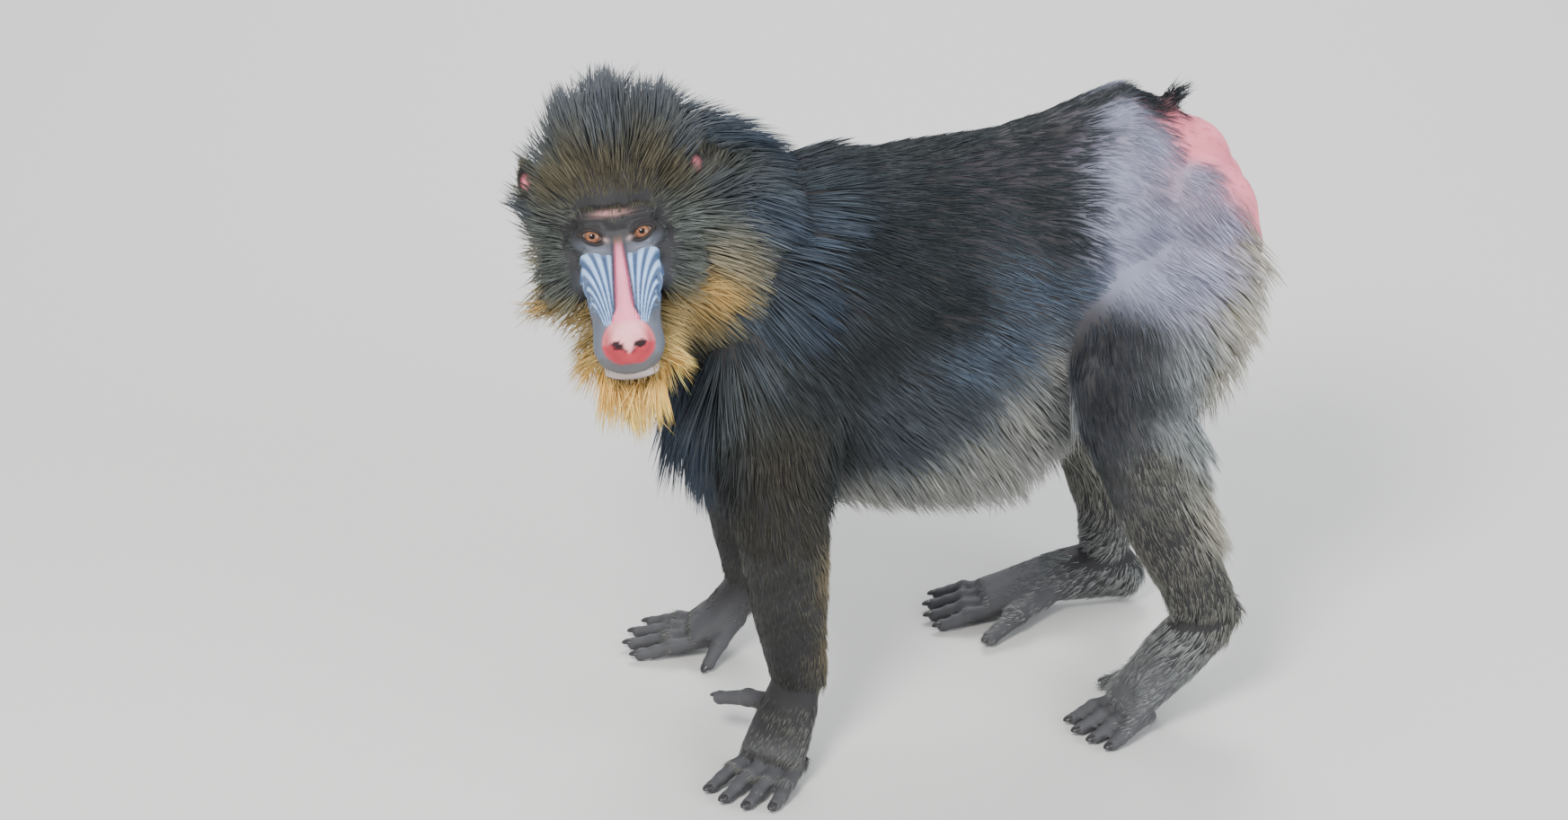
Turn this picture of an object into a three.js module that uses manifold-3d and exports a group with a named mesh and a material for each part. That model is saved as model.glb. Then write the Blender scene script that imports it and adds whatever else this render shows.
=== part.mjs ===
// A life-size adult male mandrill standing on all fours, its head turned to its left.
// Millimetres, +Z up, the rump towards +X, the animal's left side towards -Y, the floor at z = 0.
import * as THREE from "three";
import { mergeVertices } from "three/addons/utils/BufferGeometryUtils.js";
import Module from "manifold-3d";

const wasm = await Module();
wasm.setup();
const { Manifold } = wasm;

// Driving sizes of the animal
const GAP = 0.3; // space kept between neighbouring pieces
const EYE_MID = [-360, -130, 575]; // the point midway between the two eyeballs
const GAZE_YAW = 11; // degrees that the gaze turns from straight left towards the front
const GAZE_LIFT = 27; // degrees that the gaze rises
const HEAD_ROLL = 6; // degrees that the head leans
const MUZZLE_DROP = 52; // degrees between the gaze and the bridge of the nose
const HEAD_SCALE = 0.95; // the head's own sizes below are for a slightly larger male
const EYE_SPACING = 47;
const EYEBALL = 11.5;

const rad = THREE.MathUtils.degToRad;
const vec = (p) => new THREE.Vector3(...p);
const vec3 = (ring) => vec(ring.slice(0, 3));
const curve = (points) => new THREE.CatmullRomCurve3(points, false, "catmullrom", 0.5);

// Solids

function solid(geometry) {
  const bare = new THREE.BufferGeometry();
  bare.setAttribute("position", geometry.getAttribute("position"));
  bare.setIndex(geometry.getIndex());
  const merged = mergeVertices(bare, 1e-3);
  return new Manifold(
    new wasm.Mesh({
      numProp: 3,
      vertProperties: merged.attributes.position.array,
      triVerts: new Uint32Array(merged.index.array),
    }),
  );
}

function meshOf(made) {
  const m = made.getMesh();
  const position = new Float32Array(m.numVert * 3);
  for (let i = 0; i < m.numVert; i++)
    position.set(m.vertProperties.subarray(i * m.numProp, i * m.numProp + 3), i * 3);
  return new THREE.BufferGeometry()
    .setAttribute("position", new THREE.BufferAttribute(position, 3))
    .setIndex(new THREE.BufferAttribute(m.triVerts, 1));
}

const join = (pieces) => Manifold.union(pieces);

// The largest closed surface of a solid, without scraps or sealed hollows
function largest(made) {
  const shells = made.decompose();
  return shells.reduce((a, b) => (b.volume() > a.volume() ? b : a));
}

// A closed round form drawn through rings [x, y, z, half width, half height].
// up gives the direction of the height; ends are how far the two caps bulge, as a share of the ring.
const LOFT = { sides: 16, steps: 3, up: [0, 0, 1], ends: [0.6, 0.6], square: 2, grow: 0, capRings: 1 };

function loft(rings, options = {}) {
  const { sides, steps, up, ends, square, grow, capRings } = { ...LOFT, ...options };
  const spine = curve(rings.map(vec3));
  const girth = curve(rings.map((r) => vec([r[3], r[4], 0])));
  const upward = vec(up);
  const stations = [];
  const count = (rings.length - 1) * steps;
  for (let i = 0; i <= count; i++) {
    const t = i / count;
    const g = girth.getPoint(t);
    stations.push({ at: spine.getPoint(t), along: spine.getTangent(t), a: g.x + grow, b: g.y + grow });
  }
  const capped = (s, sign, bulge) => {
    const rounds = [];
    for (let k = 1; k <= capRings; k++) {
      const turn = (k / (capRings + 1)) * (Math.PI / 2);
      const out = sign * Math.sin(turn) * bulge * Math.min(s.a, s.b);
      rounds.push({
        at: s.at.clone().addScaledVector(s.along, out),
        along: s.along,
        a: s.a * Math.cos(turn),
        b: s.b * Math.cos(turn),
      });
    }
    return rounds;
  };
  const first = stations[0];
  const last = stations[count];
  const all = [...capped(first, -1, ends[0]).reverse(), ...stations, ...capped(last, 1, ends[1])];
  const shape = new THREE.SphereGeometry(1, sides, all.length + 1);
  const position = shape.getAttribute("position");
  const poleOf = (s, sign, bulge) =>
    s.at.clone().addScaledVector(s.along, sign * (bulge * Math.min(s.a, s.b) + grow));
  const poles = [poleOf(first, -1, ends[0]), poleOf(last, 1, ends[1])];
  const power = (v) => Math.sign(v) * Math.abs(v) ** (2 / square);
  for (let row = 0; row <= all.length + 1; row++) {
    for (let column = 0; column <= sides; column++) {
      const index = row * (sides + 1) + column;
      if (row === 0 || row === all.length + 1) {
        const pole = poles[row === 0 ? 0 : 1];
        position.setXYZ(index, pole.x, pole.y, pole.z);
        continue;
      }
      const s = all[row - 1];
      const height = upward.clone().addScaledVector(s.along, -upward.dot(s.along)).normalize();
      const width = s.along.clone().cross(height);
      const angle = ((column % sides) / sides) * 2 * Math.PI;
      const p = s.at
        .clone()
        .addScaledVector(width, s.a * power(Math.cos(angle)))
        .addScaledVector(height, s.b * power(Math.sin(angle)));
      position.setXYZ(index, p.x, p.y, p.z);
    }
  }
  return solid(shape);
}

// An ellipsoid with three radii, turned by three directions when they are given
function egg(centre, radii, { sides = 16, bands = 10, axes = null, grow = 0 } = {}) {
  const shape = new THREE.SphereGeometry(1, sides, bands);
  shape.scale(radii[0] + grow, radii[1] + grow, radii[2] + grow);
  if (axes) shape.applyMatrix4(new THREE.Matrix4().makeBasis(...axes.map(vec)));
  shape.translate(...centre);
  return solid(shape);
}

// The part of a solid on the far side of a plane through a point, back from it by half the gap
function keep(made, point, normal) {
  const n = vec(normal).normalize();
  return made.trimByPlane(n.toArray(), n.dot(vec(point)) + GAP / 2);
}
const flip = (n) => n.map((v) => -v);

// Locks of hair: flat and tapered, rooted in their piece and lying over the body

const ROOT_DEPTH = 6; // how far a root is sunk
const CLEARANCE = 3 * GAP; // how much a lock is grown to clear the locks of a neighbour
const MOST_LIFT = 60; // the furthest that a point of a lock is moved out
const BURIED = 4; // a root this deep under another piece is left out
const FLATNESS = 0.17; // the thickness of a lock as a share of its width
const LOCK_RINGS = [
  { t: 0, wide: 0.6, thick: 1 },
  { t: 0.3, wide: 1, thick: 1 },
  { t: 0.68, wide: 0.78, thick: 0.7 },
  { t: 1, wide: 0.14, thick: 0.3 },
];
const SEED = 7;
THREE.MathUtils.seededRandom(SEED);
const vary = (share) => 1 + share * (2 * THREE.MathUtils.seededRandom() - 1);
const down = new THREE.Vector3(0, 0, -1);

const bothSides = new THREE.MeshBasicMaterial({ side: THREE.DoubleSide });
const surfaceOf = (made) => new THREE.Mesh(meshOf(made), bothSides);
const axisOf = (rings) => curve(rings.map(vec3)).getSpacedPoints(40);

// Where a ray from inside a surface leaves it
function wayOut(surface, from, direction) {
  const hits = new THREE.Raycaster(from, direction.clone().normalize()).intersectObject(surface);
  if (hits.length === 0) return null;
  const normal = hits[0].face.normal.clone();
  if (normal.dot(direction) < 0) normal.negate();
  return { at: hits[0].point, normal, distance: hits[0].distance };
}

// Moves a point out to a height over a surface, away from the nearest point of an axis
function liftClear(p, height, { surface, axis }) {
  const from = axis.reduce((a, b) => (b.distanceToSquared(p) < a.distanceToSquared(p) ? b : a));
  const away = p.clone().sub(from);
  const reach = away.length();
  const hit = wayOut(surface, from, away);
  if (hit && reach < hit.distance + height)
    p.copy(from).addScaledVector(away.normalize(), Math.min(hit.distance + height, reach + MOST_LIFT));
}

// A lock from a root towards a lie; fall bends it down, lift stands it off, flat is the way it is thin
function lock(root, lie, { length, width, lift = 4, fall = 0, flat = null, over }) {
  const long = length * vary(0.16);
  const half = (width / 2) * vary(0.22);
  const toward = lie.clone().normalize();
  const rings = LOCK_RINGS.map(({ t, wide, thick }) => {
    const p = root.at
      .clone()
      .addScaledVector(toward, t * long)
      .addScaledVector(down, fall * t * t * long);
    if (t === 0) p.addScaledVector(root.normal, -ROOT_DEPTH);
    else liftClear(p, lift * (0.6 + t) + half * FLATNESS, over);
    return [...p.toArray(), half * wide, half * FLATNESS * thick * 2];
  });
  const up = (flat ?? root.normal).toArray();
  const drawn = (grow) => loft(rings, { sides: 4, steps: 1, up, ends: [0.2, 2], capRings: 0, grow });
  return { made: drawn(0), grown: drawn(CLEARANCE) };
}
const madeOf = (locks) => locks.map((l) => l.made);
const grownOf = (locks) => locks.flatMap((l) => [l.made, l.grown]);

// The head is made in its own axes, x along the gaze, y towards the animal's left, z towards the crown,
// from the point between the eyes, and is then turned, sized and set in place.

const gazeDirection = new THREE.Vector3(0, -1, 0)
  .applyAxisAngle(new THREE.Vector3(0, 0, 1), -rad(GAZE_YAW))
  .multiplyScalar(Math.cos(rad(GAZE_LIFT)))
  .add(new THREE.Vector3(0, 0, Math.sin(rad(GAZE_LIFT))));
const leftDirection = gazeDirection.clone().negate().cross(new THREE.Vector3(0, 0, 1)).normalize();
const crownDirection = leftDirection.clone().cross(gazeDirection.clone().negate());
for (const d of [leftDirection, crownDirection]) d.applyAxisAngle(gazeDirection, rad(HEAD_ROLL));
const headPlace = new THREE.Matrix4()
  .makeBasis(gazeDirection, leftDirection, crownDirection)
  .scale(new THREE.Vector3(HEAD_SCALE, HEAD_SCALE, HEAD_SCALE))
  .setPosition(...EYE_MID);
const placed = (made) => made.transform(headPlace.elements);
const HEAD_GAP = GAP / HEAD_SCALE;

const headPoint = (side, gaze, crown) => [gaze, side, crown];
// A point of the snout by its distances to the side, along the bridge and above the bridge
const drop = rad(MUZZLE_DROP);
const snoutPoint = (side, along, above) => [
  along * Math.cos(drop) + above * Math.sin(drop),
  side,
  -along * Math.sin(drop) + above * Math.cos(drop),
];
const snoutAlong = [Math.cos(drop), 0, -Math.sin(drop)];
const snoutUp = [Math.sin(drop), 0, Math.cos(drop)];
const SNOUT_AXES = [snoutAlong, [0, 1, 0], snoutUp];
const crown = [0, 0, 1];

// Trunk, neck and limbs, as rings [x, y, z, half width, half height]

const TRUNK = [
  [-238, 0, 412, 92, 140],
  [-180, 0, 412, 116, 172],
  [-114, 0, 404, 124, 176],
  [-26, 0, 402, 123, 188],
  [61, 0, 420, 116, 178],
  [140, 0, 474, 108, 148],
  [196, 0, 488, 92, 104],
  [238, 0, 490, 66, 64],
];
const NECK = [
  [-150, 0, 440, 84, 104],
  [-210, -6, 480, 88, 110],
  [-264, -22, 518, 90, 106],
  [-312, -44, 548, 86, 98],
  [-346, -62, 564, 76, 84],
];
const NEAR_ARM = [
  [-196, -58, 470, 40, 56],
  [-208, -88, 410, 50, 74],
  [-215, -108, 345, 47, 64],
  [-212, -124, 276, 41, 49],
  [-204, -124, 200, 36, 42],
  [-196, -118, 132, 29, 34],
  [-190, -112, 84, 26, 27],
];
const FAR_ARM = [
  [-196, 58, 470, 40, 56],
  [-206, 88, 410, 50, 74],
  [-212, 107, 342, 47, 64],
  [-208, 120, 270, 41, 49],
  [-200, 119, 190, 36, 42],
  [-194, 114, 115, 28, 32],
  [-190, 111, 68, 25, 25],
];
const NEAR_LEG = [
  [196, -38, 520, 40, 66],
  [176, -68, 480, 56, 90],
  [150, -90, 436, 57, 86],
  [128, -108, 392, 52, 70],
  [122, -118, 335, 46, 58],
  [146, -120, 270, 40, 50],
  [168, -119, 210, 34, 46],
  [188, -118, 158, 28, 42],
  [202, -115, 120, 25, 36],
];
const FAR_LEG = [
  [184, 38, 515, 40, 66],
  [156, 68, 470, 56, 90],
  [122, 90, 422, 56, 82],
  [104, 104, 370, 51, 68],
  [116, 111, 300, 46, 57],
  [141, 118, 220, 38, 46],
  [160, 123, 150, 31, 37],
  [171, 126, 92, 24, 29],
  [172, 127, 56, 22, 27],
];
const LIMB = { sides: 12, steps: 1, up: [-1, 0, 0], ends: [0.5, 0.3] };

const trunkLoft = (grow) => loft(TRUNK, { sides: 18, steps: 2, square: 2.15, grow });
const neckLoft = (grow) => loft(NECK, { sides: 16, steps: 1, ends: [0.3, 0.3], grow });
const SHOULDER_CUT = [-70, 0, 400];
const LOIN_CUT = [92, 0, 430];
const LOIN_AXIS = [1, 0, 0.25];

// A hand or foot: its sole or palm is one loft, its digits fan out from the knuckles, flat on the floor

const DIGIT = { sides: 5, steps: 1, ends: [0.4, 0.9] };
const SINK = 1.2; // how far the pads are pressed flat on the floor

function digit(root, knee, tip, thick) {
  return loft(
    [
      [...root, thick * 1.05, thick * 0.95],
      [...knee, thick, thick * 0.95],
      [...tip, thick * 0.8, thick * 0.75],
    ],
    DIGIT,
  );
}

// heading and inward are flat directions: where the digits point, and the side of the thumb or big toe
function extremity({ limb, palm, knuckles, heading, inward, width, lengths, thick, thumb, wrist }) {
  const place = (forward, inside, height) => [
    knuckles[0] + heading[0] * forward + inward[0] * inside,
    knuckles[1] + heading[1] * forward + inward[1] * inside,
    height,
  ];
  const pieces = [loft(palm, { sides: 8, steps: 1, ends: [0.5, 0.6] }), loft(limb, LIMB)];
  lengths.forEach((length, i) => {
    const across = (0.5 - i / (lengths.length - 1)) * 2; // 1 beside the thumb, -1 outermost
    const spread = across * width;
    const fan = across * length * 0.16;
    pieces.push(
      digit(
        place(-12, spread * 0.86, knuckles[2]),
        place(length * 0.45, spread + fan * 0.5, thick * 1.5),
        place(length, spread + fan, thick * 0.75 - SINK),
        thick,
      ),
    );
  });
  pieces.push(loft(thumb, DIGIT));
  const whole = largest(join(pieces).trimByPlane([0, 0, 1], 0));
  return largest(keep(whole, wrist.at, flip(wrist.across)));
}

const NEAR_ELBOW = { at: [-213, -122, 270], across: [-0.02, 0.03, 1] };
const NEAR_WRIST = { at: [-192, -114, 92], across: [0.1, 0.1, 1] };
const FAR_ELBOW = { at: [-209, 119, 262], across: [-0.02, -0.03, 1] };
const FAR_WRIST = { at: [-191, 112, 76], across: [0.2, -0.05, 1] };
const NEAR_KNEE = { at: [112, -117, 345], across: [-0.1, 0.1, 1] };
const NEAR_ANKLE = { at: [192, -117, 148], across: [-0.35, 0, 1] };
const FAR_KNEE = { at: [111, 108, 322], across: [-0.05, -0.1, 1] };
const FAR_ANKLE = { at: [171, 126, 82], across: [-0.05, 0, 1] };

const nearHand = extremity({
  limb: NEAR_ARM,
  palm: [
    [-189, -109, 96, 25, 24],
    [-196, -115, 74, 29, 23],
    [-210, -130, 46, 35, 18],
    [-221, -143, 24, 37, 13],
  ],
  knuckles: [-221, -143, 20],
  heading: [-0.72, -0.69],
  inward: [-0.69, 0.72],
  width: 27,
  lengths: [52, 60, 58, 46],
  thick: 9,
  thumb: [
    [-204, -114, 62, 14, 13],
    [-232, -82, 56, 11, 10],
    [-254, -56, 44, 8, 8],
  ],
  wrist: NEAR_WRIST,
});
const farHand = extremity({
  limb: FAR_ARM,
  palm: [
    [-189, 111, 84, 25, 24],
    [-198, 113, 62, 29, 23],
    [-219, 118, 38, 34, 18],
    [-240, 124, 21, 36, 13],
  ],
  knuckles: [-240, 124, 18],
  heading: [-0.96, 0.27],
  inward: [-0.27, -0.96],
  width: 26,
  lengths: [54, 63, 60, 48],
  thick: 9,
  thumb: [
    [-208, 98, 42, 13, 12],
    [-226, 84, 24, 10, 10],
    [-240, 72, 7, 8, 7],
  ],
  wrist: FAR_WRIST,
});
const nearFoot = extremity({
  limb: NEAR_LEG,
  palm: [
    [236, -104, 120, 21, 18],
    [212, -106, 106, 27, 33],
    [176, -110, 72, 32, 31],
    [144, -113, 40, 35, 22],
    [126, -116, 23, 36, 14],
  ],
  knuckles: [126, -116, 18],
  heading: [-0.93, -0.36],
  inward: [-0.36, 0.93],
  width: 26,
  lengths: [36, 42, 40, 34],
  thick: 9,
  thumb: [
    [170, -96, 52, 15, 14],
    [150, -70, 28, 13, 12],
    [130, -44, 8, 10, 8],
  ],
  wrist: NEAR_ANKLE,
});
const farFoot = extremity({
  limb: FAR_LEG,
  palm: [
    [200, 126, 24, 22, 22],
    [174, 127, 40, 26, 35],
    [124, 128, 35, 30, 27],
    [78, 129, 24, 34, 18],
    [50, 130, 18, 35, 13],
  ],
  knuckles: [50, 130, 16],
  heading: [-0.995, 0.1],
  inward: [-0.1, -0.995],
  width: 26,
  lengths: [46, 52, 50, 42],
  thick: 9,
  thumb: [
    [106, 110, 26, 15, 14],
    [72, 86, 19, 13, 11],
    [40, 64, 8, 10, 8],
  ],
  wrist: FAR_ANKLE,
});

// Head

const SKULL = { at: [0, -66, 28], radii: [66, 78, 84] }; // the skull under the dense root of the coat
const SNOUT_RINGS = [
  [-8, -32, 46, 38],
  [26, -27, 40, 34],
  [60, -23, 35, 30],
  [92, -19, 33, 26],
  [118, -16, 34, 24],
  [132, -16, 31, 21],
]; // along, above, half width, half height
const JAW_RINGS = [
  [-30, -74, 46, 26],
  [20, -67, 38, 20],
  [60, -59, 31, 16],
  [96, -52, 27, 13],
  [122, -48, 25, 11],
];
const snoutLoft = (rings, options = {}) =>
  loft(
    rings.map(([along, above, a, b]) => [...snoutPoint(0, along, above), a, b]),
    { sides: 14, steps: 1, up: snoutUp, ends: [0.3, 0.5], square: 2.4, ...options },
  );

const RIDGE_START = 20;
const RIDGE_END = 114;

// The middle and radii of the swollen flank of the nose, at a distance along the bridge
function ridgeRing(hand, along) {
  const t = (along - RIDGE_START) / (RIDGE_END - RIDGE_START);
  return {
    side: hand * (26 - 8.5 * t),
    above: -8 + 2 * t,
    a: 14 - 6.5 * t,
    b: 16 - 5 * t,
  };
}

// The swollen blue flank of the nose with its long raised ribs
function muzzleRidges(hand, grow) {
  const RIB_TURNS = [-22, 10, 40, 70]; // degrees from the top towards the cheek
  const RIB = 2.5;
  const places = [RIDGE_START, (RIDGE_START + RIDGE_END) / 2, RIDGE_END];
  const pieces = [
    loft(
      places.map((along) => {
        const r = ridgeRing(hand, along);
        return [...snoutPoint(r.side, along, r.above), r.a, r.b];
      }),
      { sides: 8, steps: 1, up: snoutUp, ends: [0.6, 0.8], grow },
    ),
  ];
  for (const degrees of RIB_TURNS) {
    const turn = rad(degrees);
    pieces.push(
      loft(
        places.map((along) => {
          const r = ridgeRing(hand, along);
          const out = hand * r.a * Math.sin(turn);
          return [...snoutPoint(r.side + out, along, r.above + r.b * Math.cos(turn)), RIB, RIB];
        }),
        { sides: 4, steps: 1, up: snoutUp, ends: [2, 2], capRings: 0, grow },
      ),
    );
  }
  return pieces;
}

function eyelids(hand, grow) {
  const LID = 2.6;
  const lid = (tilt) =>
    loft(
      [-68, -34, 0, 34, 68].map((degrees) => {
        const t = rad(degrees);
        const reach = EYEBALL + 1.2;
        return [
          ...headPoint(
            (hand * EYE_SPACING) / 2 + reach * Math.sin(t),
            reach * Math.cos(t) * Math.cos(rad(tilt)),
            reach * Math.cos(t) * Math.sin(rad(tilt)),
          ),
          LID,
          LID,
        ];
      }),
      { sides: 4, steps: 1, up: crown, ends: [1, 1], capRings: 0, grow },
    );
  return [lid(34), lid(-32)];
}

const eyeAt = (hand, grow) =>
  egg(headPoint((hand * EYE_SPACING) / 2, 0, 0), [EYEBALL, EYEBALL, EYEBALL], {
    sides: 10,
    bands: 7,
    grow,
  });

const NOSE = { sides: 12, bands: 7 };
const headCore = (grow) => egg(headPoint(...SKULL.at), SKULL.radii, { sides: 16, bands: 9, grow });

// The raised forms of the head, or only its bulk where it is grown to cut a neighbour
function headForms(grow) {
  const brow = loft(
    [
      [...headPoint(-42, -12, 8), 8, 9],
      [...headPoint(-22, 5, 18), 9, 9],
      [...headPoint(0, 7, 20), 9, 8],
      [...headPoint(22, 5, 18), 9, 9],
      [...headPoint(42, -12, 8), 8, 9],
    ],
    { sides: 7, steps: 1, up: crown, grow },
  );
  const bridge = loft(
    [
      [...snoutPoint(0, -6, 2), 8, 7],
      [...snoutPoint(0, 30, 5), 6, 7],
      [...snoutPoint(0, 70, 5), 7, 7],
      [...snoutPoint(0, 104, 4), 11, 9],
      [...snoutPoint(0, 124, 0), 17, 13],
    ],
    { sides: 7, steps: 1, up: snoutUp, grow },
  );
  const nose = egg(snoutPoint(0, 127, -6), [20, 22, 18], { ...NOSE, axes: SNOUT_AXES, grow });
  const snout = [SNOUT_RINGS, JAW_RINGS].map((rings) => snoutLoft(rings, { grow }));
  const round = { sides: 10, bands: 6, grow };
  const bulk = [headCore(grow), ...snout, brow];
  for (const hand of [-1, 1]) {
    bulk.push(egg(headPoint(hand * 46, -30, -26), [26, 24, 38], round));
    bulk.push(egg(headPoint(hand * 25, -8, -2), [15, 22, 17], round));
  }
  if (grow) return bulk;
  for (const hand of [-1, 1]) bulk.push(...muzzleRidges(hand, grow), ...eyelids(hand, grow));
  return [...bulk, bridge, nose];
}

// The crest, the ruff round the face and the beard. Turns are seen from the front, 90 is the crown.
const HAIR_TIERS = [
  { gaze: 0.42, turns: [0, 26, 50, 72, 90, 108, 130, 154, 180], length: 0.9 },
  { gaze: -0.05, turns: [-58, -30, -4, 22, 46, 66, 84, 102, 122, 144, 168, 196, 222, 246], length: 1.05 },
  { gaze: -0.5, turns: [56, 86, 114, 142, 170, 200], length: 1.1 },
];
const CREST_LENGTH = 68;
const RUFF_LENGTH = 36;
const HAIR_WIDTH = 38;
const FAR_SIDE = 0.78; // the ruff is pressed shorter on the animal's right, towards the turned neck
const BEARD_LENGTH = 80;
const BEARD_WIDTH = 24;

function headHair(over) {
  const locks = [];
  const turned = new THREE.Matrix4().extractRotation(headPlace);
  const inHead = (x, y, z) => new THREE.Vector3(x, y, z).applyMatrix4(turned);
  for (const { gaze, turns, length } of HAIR_TIERS)
    for (const degrees of turns) {
      const turn = rad(degrees + 7 * (vary(1) - 1));
      const ray = inHead(gaze, Math.cos(turn), Math.sin(turn));
      const root = wayOut(over.head, over.skull, ray);
      if (wayOut(over.surface, over.skull, ray).distance > root.distance + BURIED) continue;
      const high = Math.max(0, Math.sin(turn)) ** 3;
      const side = Math.cos(turn) * (1 - 0.45 * high);
      const lie = inHead(-0.5 - 0.25 * high, side, Math.sin(turn) * (1 + 0.3 * high));
      const ruff = RUFF_LENGTH * (side < 0 ? FAR_SIDE : 1);
      locks.push(
        lock(root, lie, {
          length: length * (ruff + (CREST_LENGTH - ruff) * high),
          width: HAIR_WIDTH,
          flat: inHead(1, 0, 0.3),
          over,
        }),
      );
    }
  for (const forward of [-0.4, 0.08])
    for (const side of [-0.66, -0.36, -0.06, 0.24, 0.56]) {
      const root = wayOut(over.head, over.jaw, inHead(forward, side, -1));
      const lie = inHead(0.1 + 0.25 * forward, 0.3 * side * vary(0.5) + 0.04, -1);
      locks.push(
        lock(root, lie, {
          length: BEARD_LENGTH * (1 - 0.32 * Math.abs(side)),
          width: BEARD_WIDTH,
          flat: inHead(1, 0, 0.15),
          over,
        }),
      );
    }
  return locks;
}

function makeHead() {
  const nostril = { sides: 8, bands: 5, axes: SNOUT_AXES };
  const holes = [-1, 1].flatMap((hand) => [
    eyeAt(hand, HEAD_GAP),
    egg(snoutPoint(hand * 9, 143, 1), [9, 5.5, 3.6], nostril),
  ]);
  return largest(join(headForms(0)).subtract(join(holes)));
}

// An ear: a thin shell hollowed from the front, standing out from the side of the skull
const EAR = { at: [-58, 80, 60], radii: [7, 14, 21], turn: 28, cup: [7, 10, 16], cupForward: 5.5 };

function ear(hand, grow) {
  const turn = new THREE.Matrix4().makeRotationZ(hand * rad(EAR.turn));
  const axes = [0, 1, 2].map((i) => new THREE.Vector3().setFromMatrixColumn(turn, i).toArray());
  const at = [EAR.at[0], hand * EAR.at[1], EAR.at[2]];
  const outer = egg(at, EAR.radii, { sides: 10, bands: 6, axes, grow });
  if (grow) return outer;
  const forward = at.map((v, i) => v + axes[0][i] * EAR.cupForward);
  return outer.subtract(egg(forward, EAR.cup, { sides: 8, bands: 5, axes }));
}

// The named pieces, each kept as one closed surface
const nodes = [];
const add = (name, made, colour, roughness = 0.9) =>
  nodes.push({ name, made: largest(solid(meshOf(made))), colour, roughness });

const FUR = 0x3a3a34;
const HEAD_FUR = 0x4a4a42;
const OLIVE_FUR = 0x5a5140;
const PALE_FUR = 0x8a8690;
const SKIN = 0xb98a8a;
const DARK_SKIN = 0x3c3a3c;
const AMBER = 0xb06a2c;

// The bare cores, and the one surface over which all the locks lie
const earsGrown = placed(join([ear(1, HEAD_GAP), ear(-1, HEAD_GAP)]));
const headCoreOnly = placed(makeHead());
const headBulk = placed(join(headForms(HEAD_GAP)));
const bareTrunk = trunkLoft(0);
const bareNeck = neckLoft(0);
const limbLofts = [NEAR_ARM, FAR_ARM, NEAR_LEG, FAR_LEG].map((rings) => loft(rings, LIMB));
const bodyAxis = axisOf([...TRUNK.toReversed(), ...NECK.slice(1)]);
const bare = surfaceOf(join([headBulk, bareNeck, bareTrunk, ...limbLofts]));
const skullMiddle = vec(headPoint(...SKULL.at)).applyMatrix4(headPlace);
const jawMiddle = vec(snoutPoint(0, 30, -58)).applyMatrix4(headPlace);
const headOver = {
  head: surfaceOf(headBulk),
  surface: bare,
  axis: [skullMiddle, jawMiddle],
  skull: skullMiddle,
  jaw: jawMiddle,
};
const bodyOver = { surface: bare, axis: bodyAxis };

const headLocks = headHair(headOver);
add("head", join([headCoreOnly, ...madeOf(headLocks)]).subtract(earsGrown), HEAD_FUR);
add("eye_left", placed(eyeAt(1, 0)), AMBER, 0.2);
add("eye_right", placed(eyeAt(-1, 0)), AMBER, 0.2);
add("ear_left", placed(ear(1, 0)), SKIN, 0.6);
add("ear_right", placed(ear(-1, 0)), SKIN, 0.6);

const headGrown = join([headBulk, earsGrown, ...grownOf(headLocks)]);

// Locks rooted round a stretch of the body. Each place is a point inside it and a turn, in degrees from the
// first of the two directions across towards the second; lie gives the direction of a lock from its turn.
function coat(core, places, setting) {
  const [first, second] = setting.across;
  const locks = [];
  for (const [from, degrees] of places) {
    const turn = rad(degrees);
    const ray = first.clone().multiplyScalar(Math.cos(turn)).addScaledVector(second, Math.sin(turn));
    const root = wayOut(core, from, ray);
    if (!root || wayOut(bare, from, ray).distance > root.distance + BURIED) continue;
    locks.push(lock(root, setting.lie(turn), { ...setting, over: bodyOver }));
  }
  return locks;
}

// Every pairing of points with turns, every second row half a turn's step on
function staggered(points, turns) {
  const step = turns[1] - turns[0];
  const shifted = (turn, row) => turn + (row % 2) * (step / 2) + step * 0.3 * (vary(1) - 1);
  return points.flatMap((p, row) => turns.map((turn) => [p, shifted(turn, row)]));
}
const evenly = (from, to, count) =>
  Array.from({ length: count }, (_, i) => from + ((to - from) * i) / (count - 1));

const LEFTWARD = vec([0, -1, 0]);
const RIGHTWARD = vec([0, 1, 0]);
const UPWARD = vec([0, 0, 1]);
const BACKWARD = vec([1, 0, 0]);
const FORWARD = vec([-1, 0, 0]);
const NECK_LEFT = vec([0.35, -0.94, 0]); // the left side of the turned neck

// The mane lies back from the head over the neck and shoulders
const MANE_ROOTS = [0.86, 0.6, 0.34].map((t) => curve(NECK.map(vec3)).getPoint(t));
const maneLocks = coat(surfaceOf(bareNeck), staggered(MANE_ROOTS, evenly(-44, 224, 8)), {
  across: [NECK_LEFT, UPWARD],
  lie: (turn) => vec([1, -0.35 * Math.cos(turn), 0.16 - 0.8 * Math.abs(Math.cos(turn))]),
  length: 96,
  width: 62,
  lift: 12,
});
// The long hair of the chest hangs below the throat
const CHEST_ROOTS = [
  [-236, 0, 420],
  [-230, 0, 376],
  [-222, 0, 330],
].map(vec);
const chestLocks = coat(surfaceOf(bareTrunk), staggered(CHEST_ROOTS, [-45, -15, 15, 45]), {
  across: [FORWARD, RIGHTWARD],
  lie: (turn) => vec([-0.3, 0.2 * Math.sin(turn), -1]),
  length: 100,
  width: 46,
  lift: 6,
});
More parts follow.
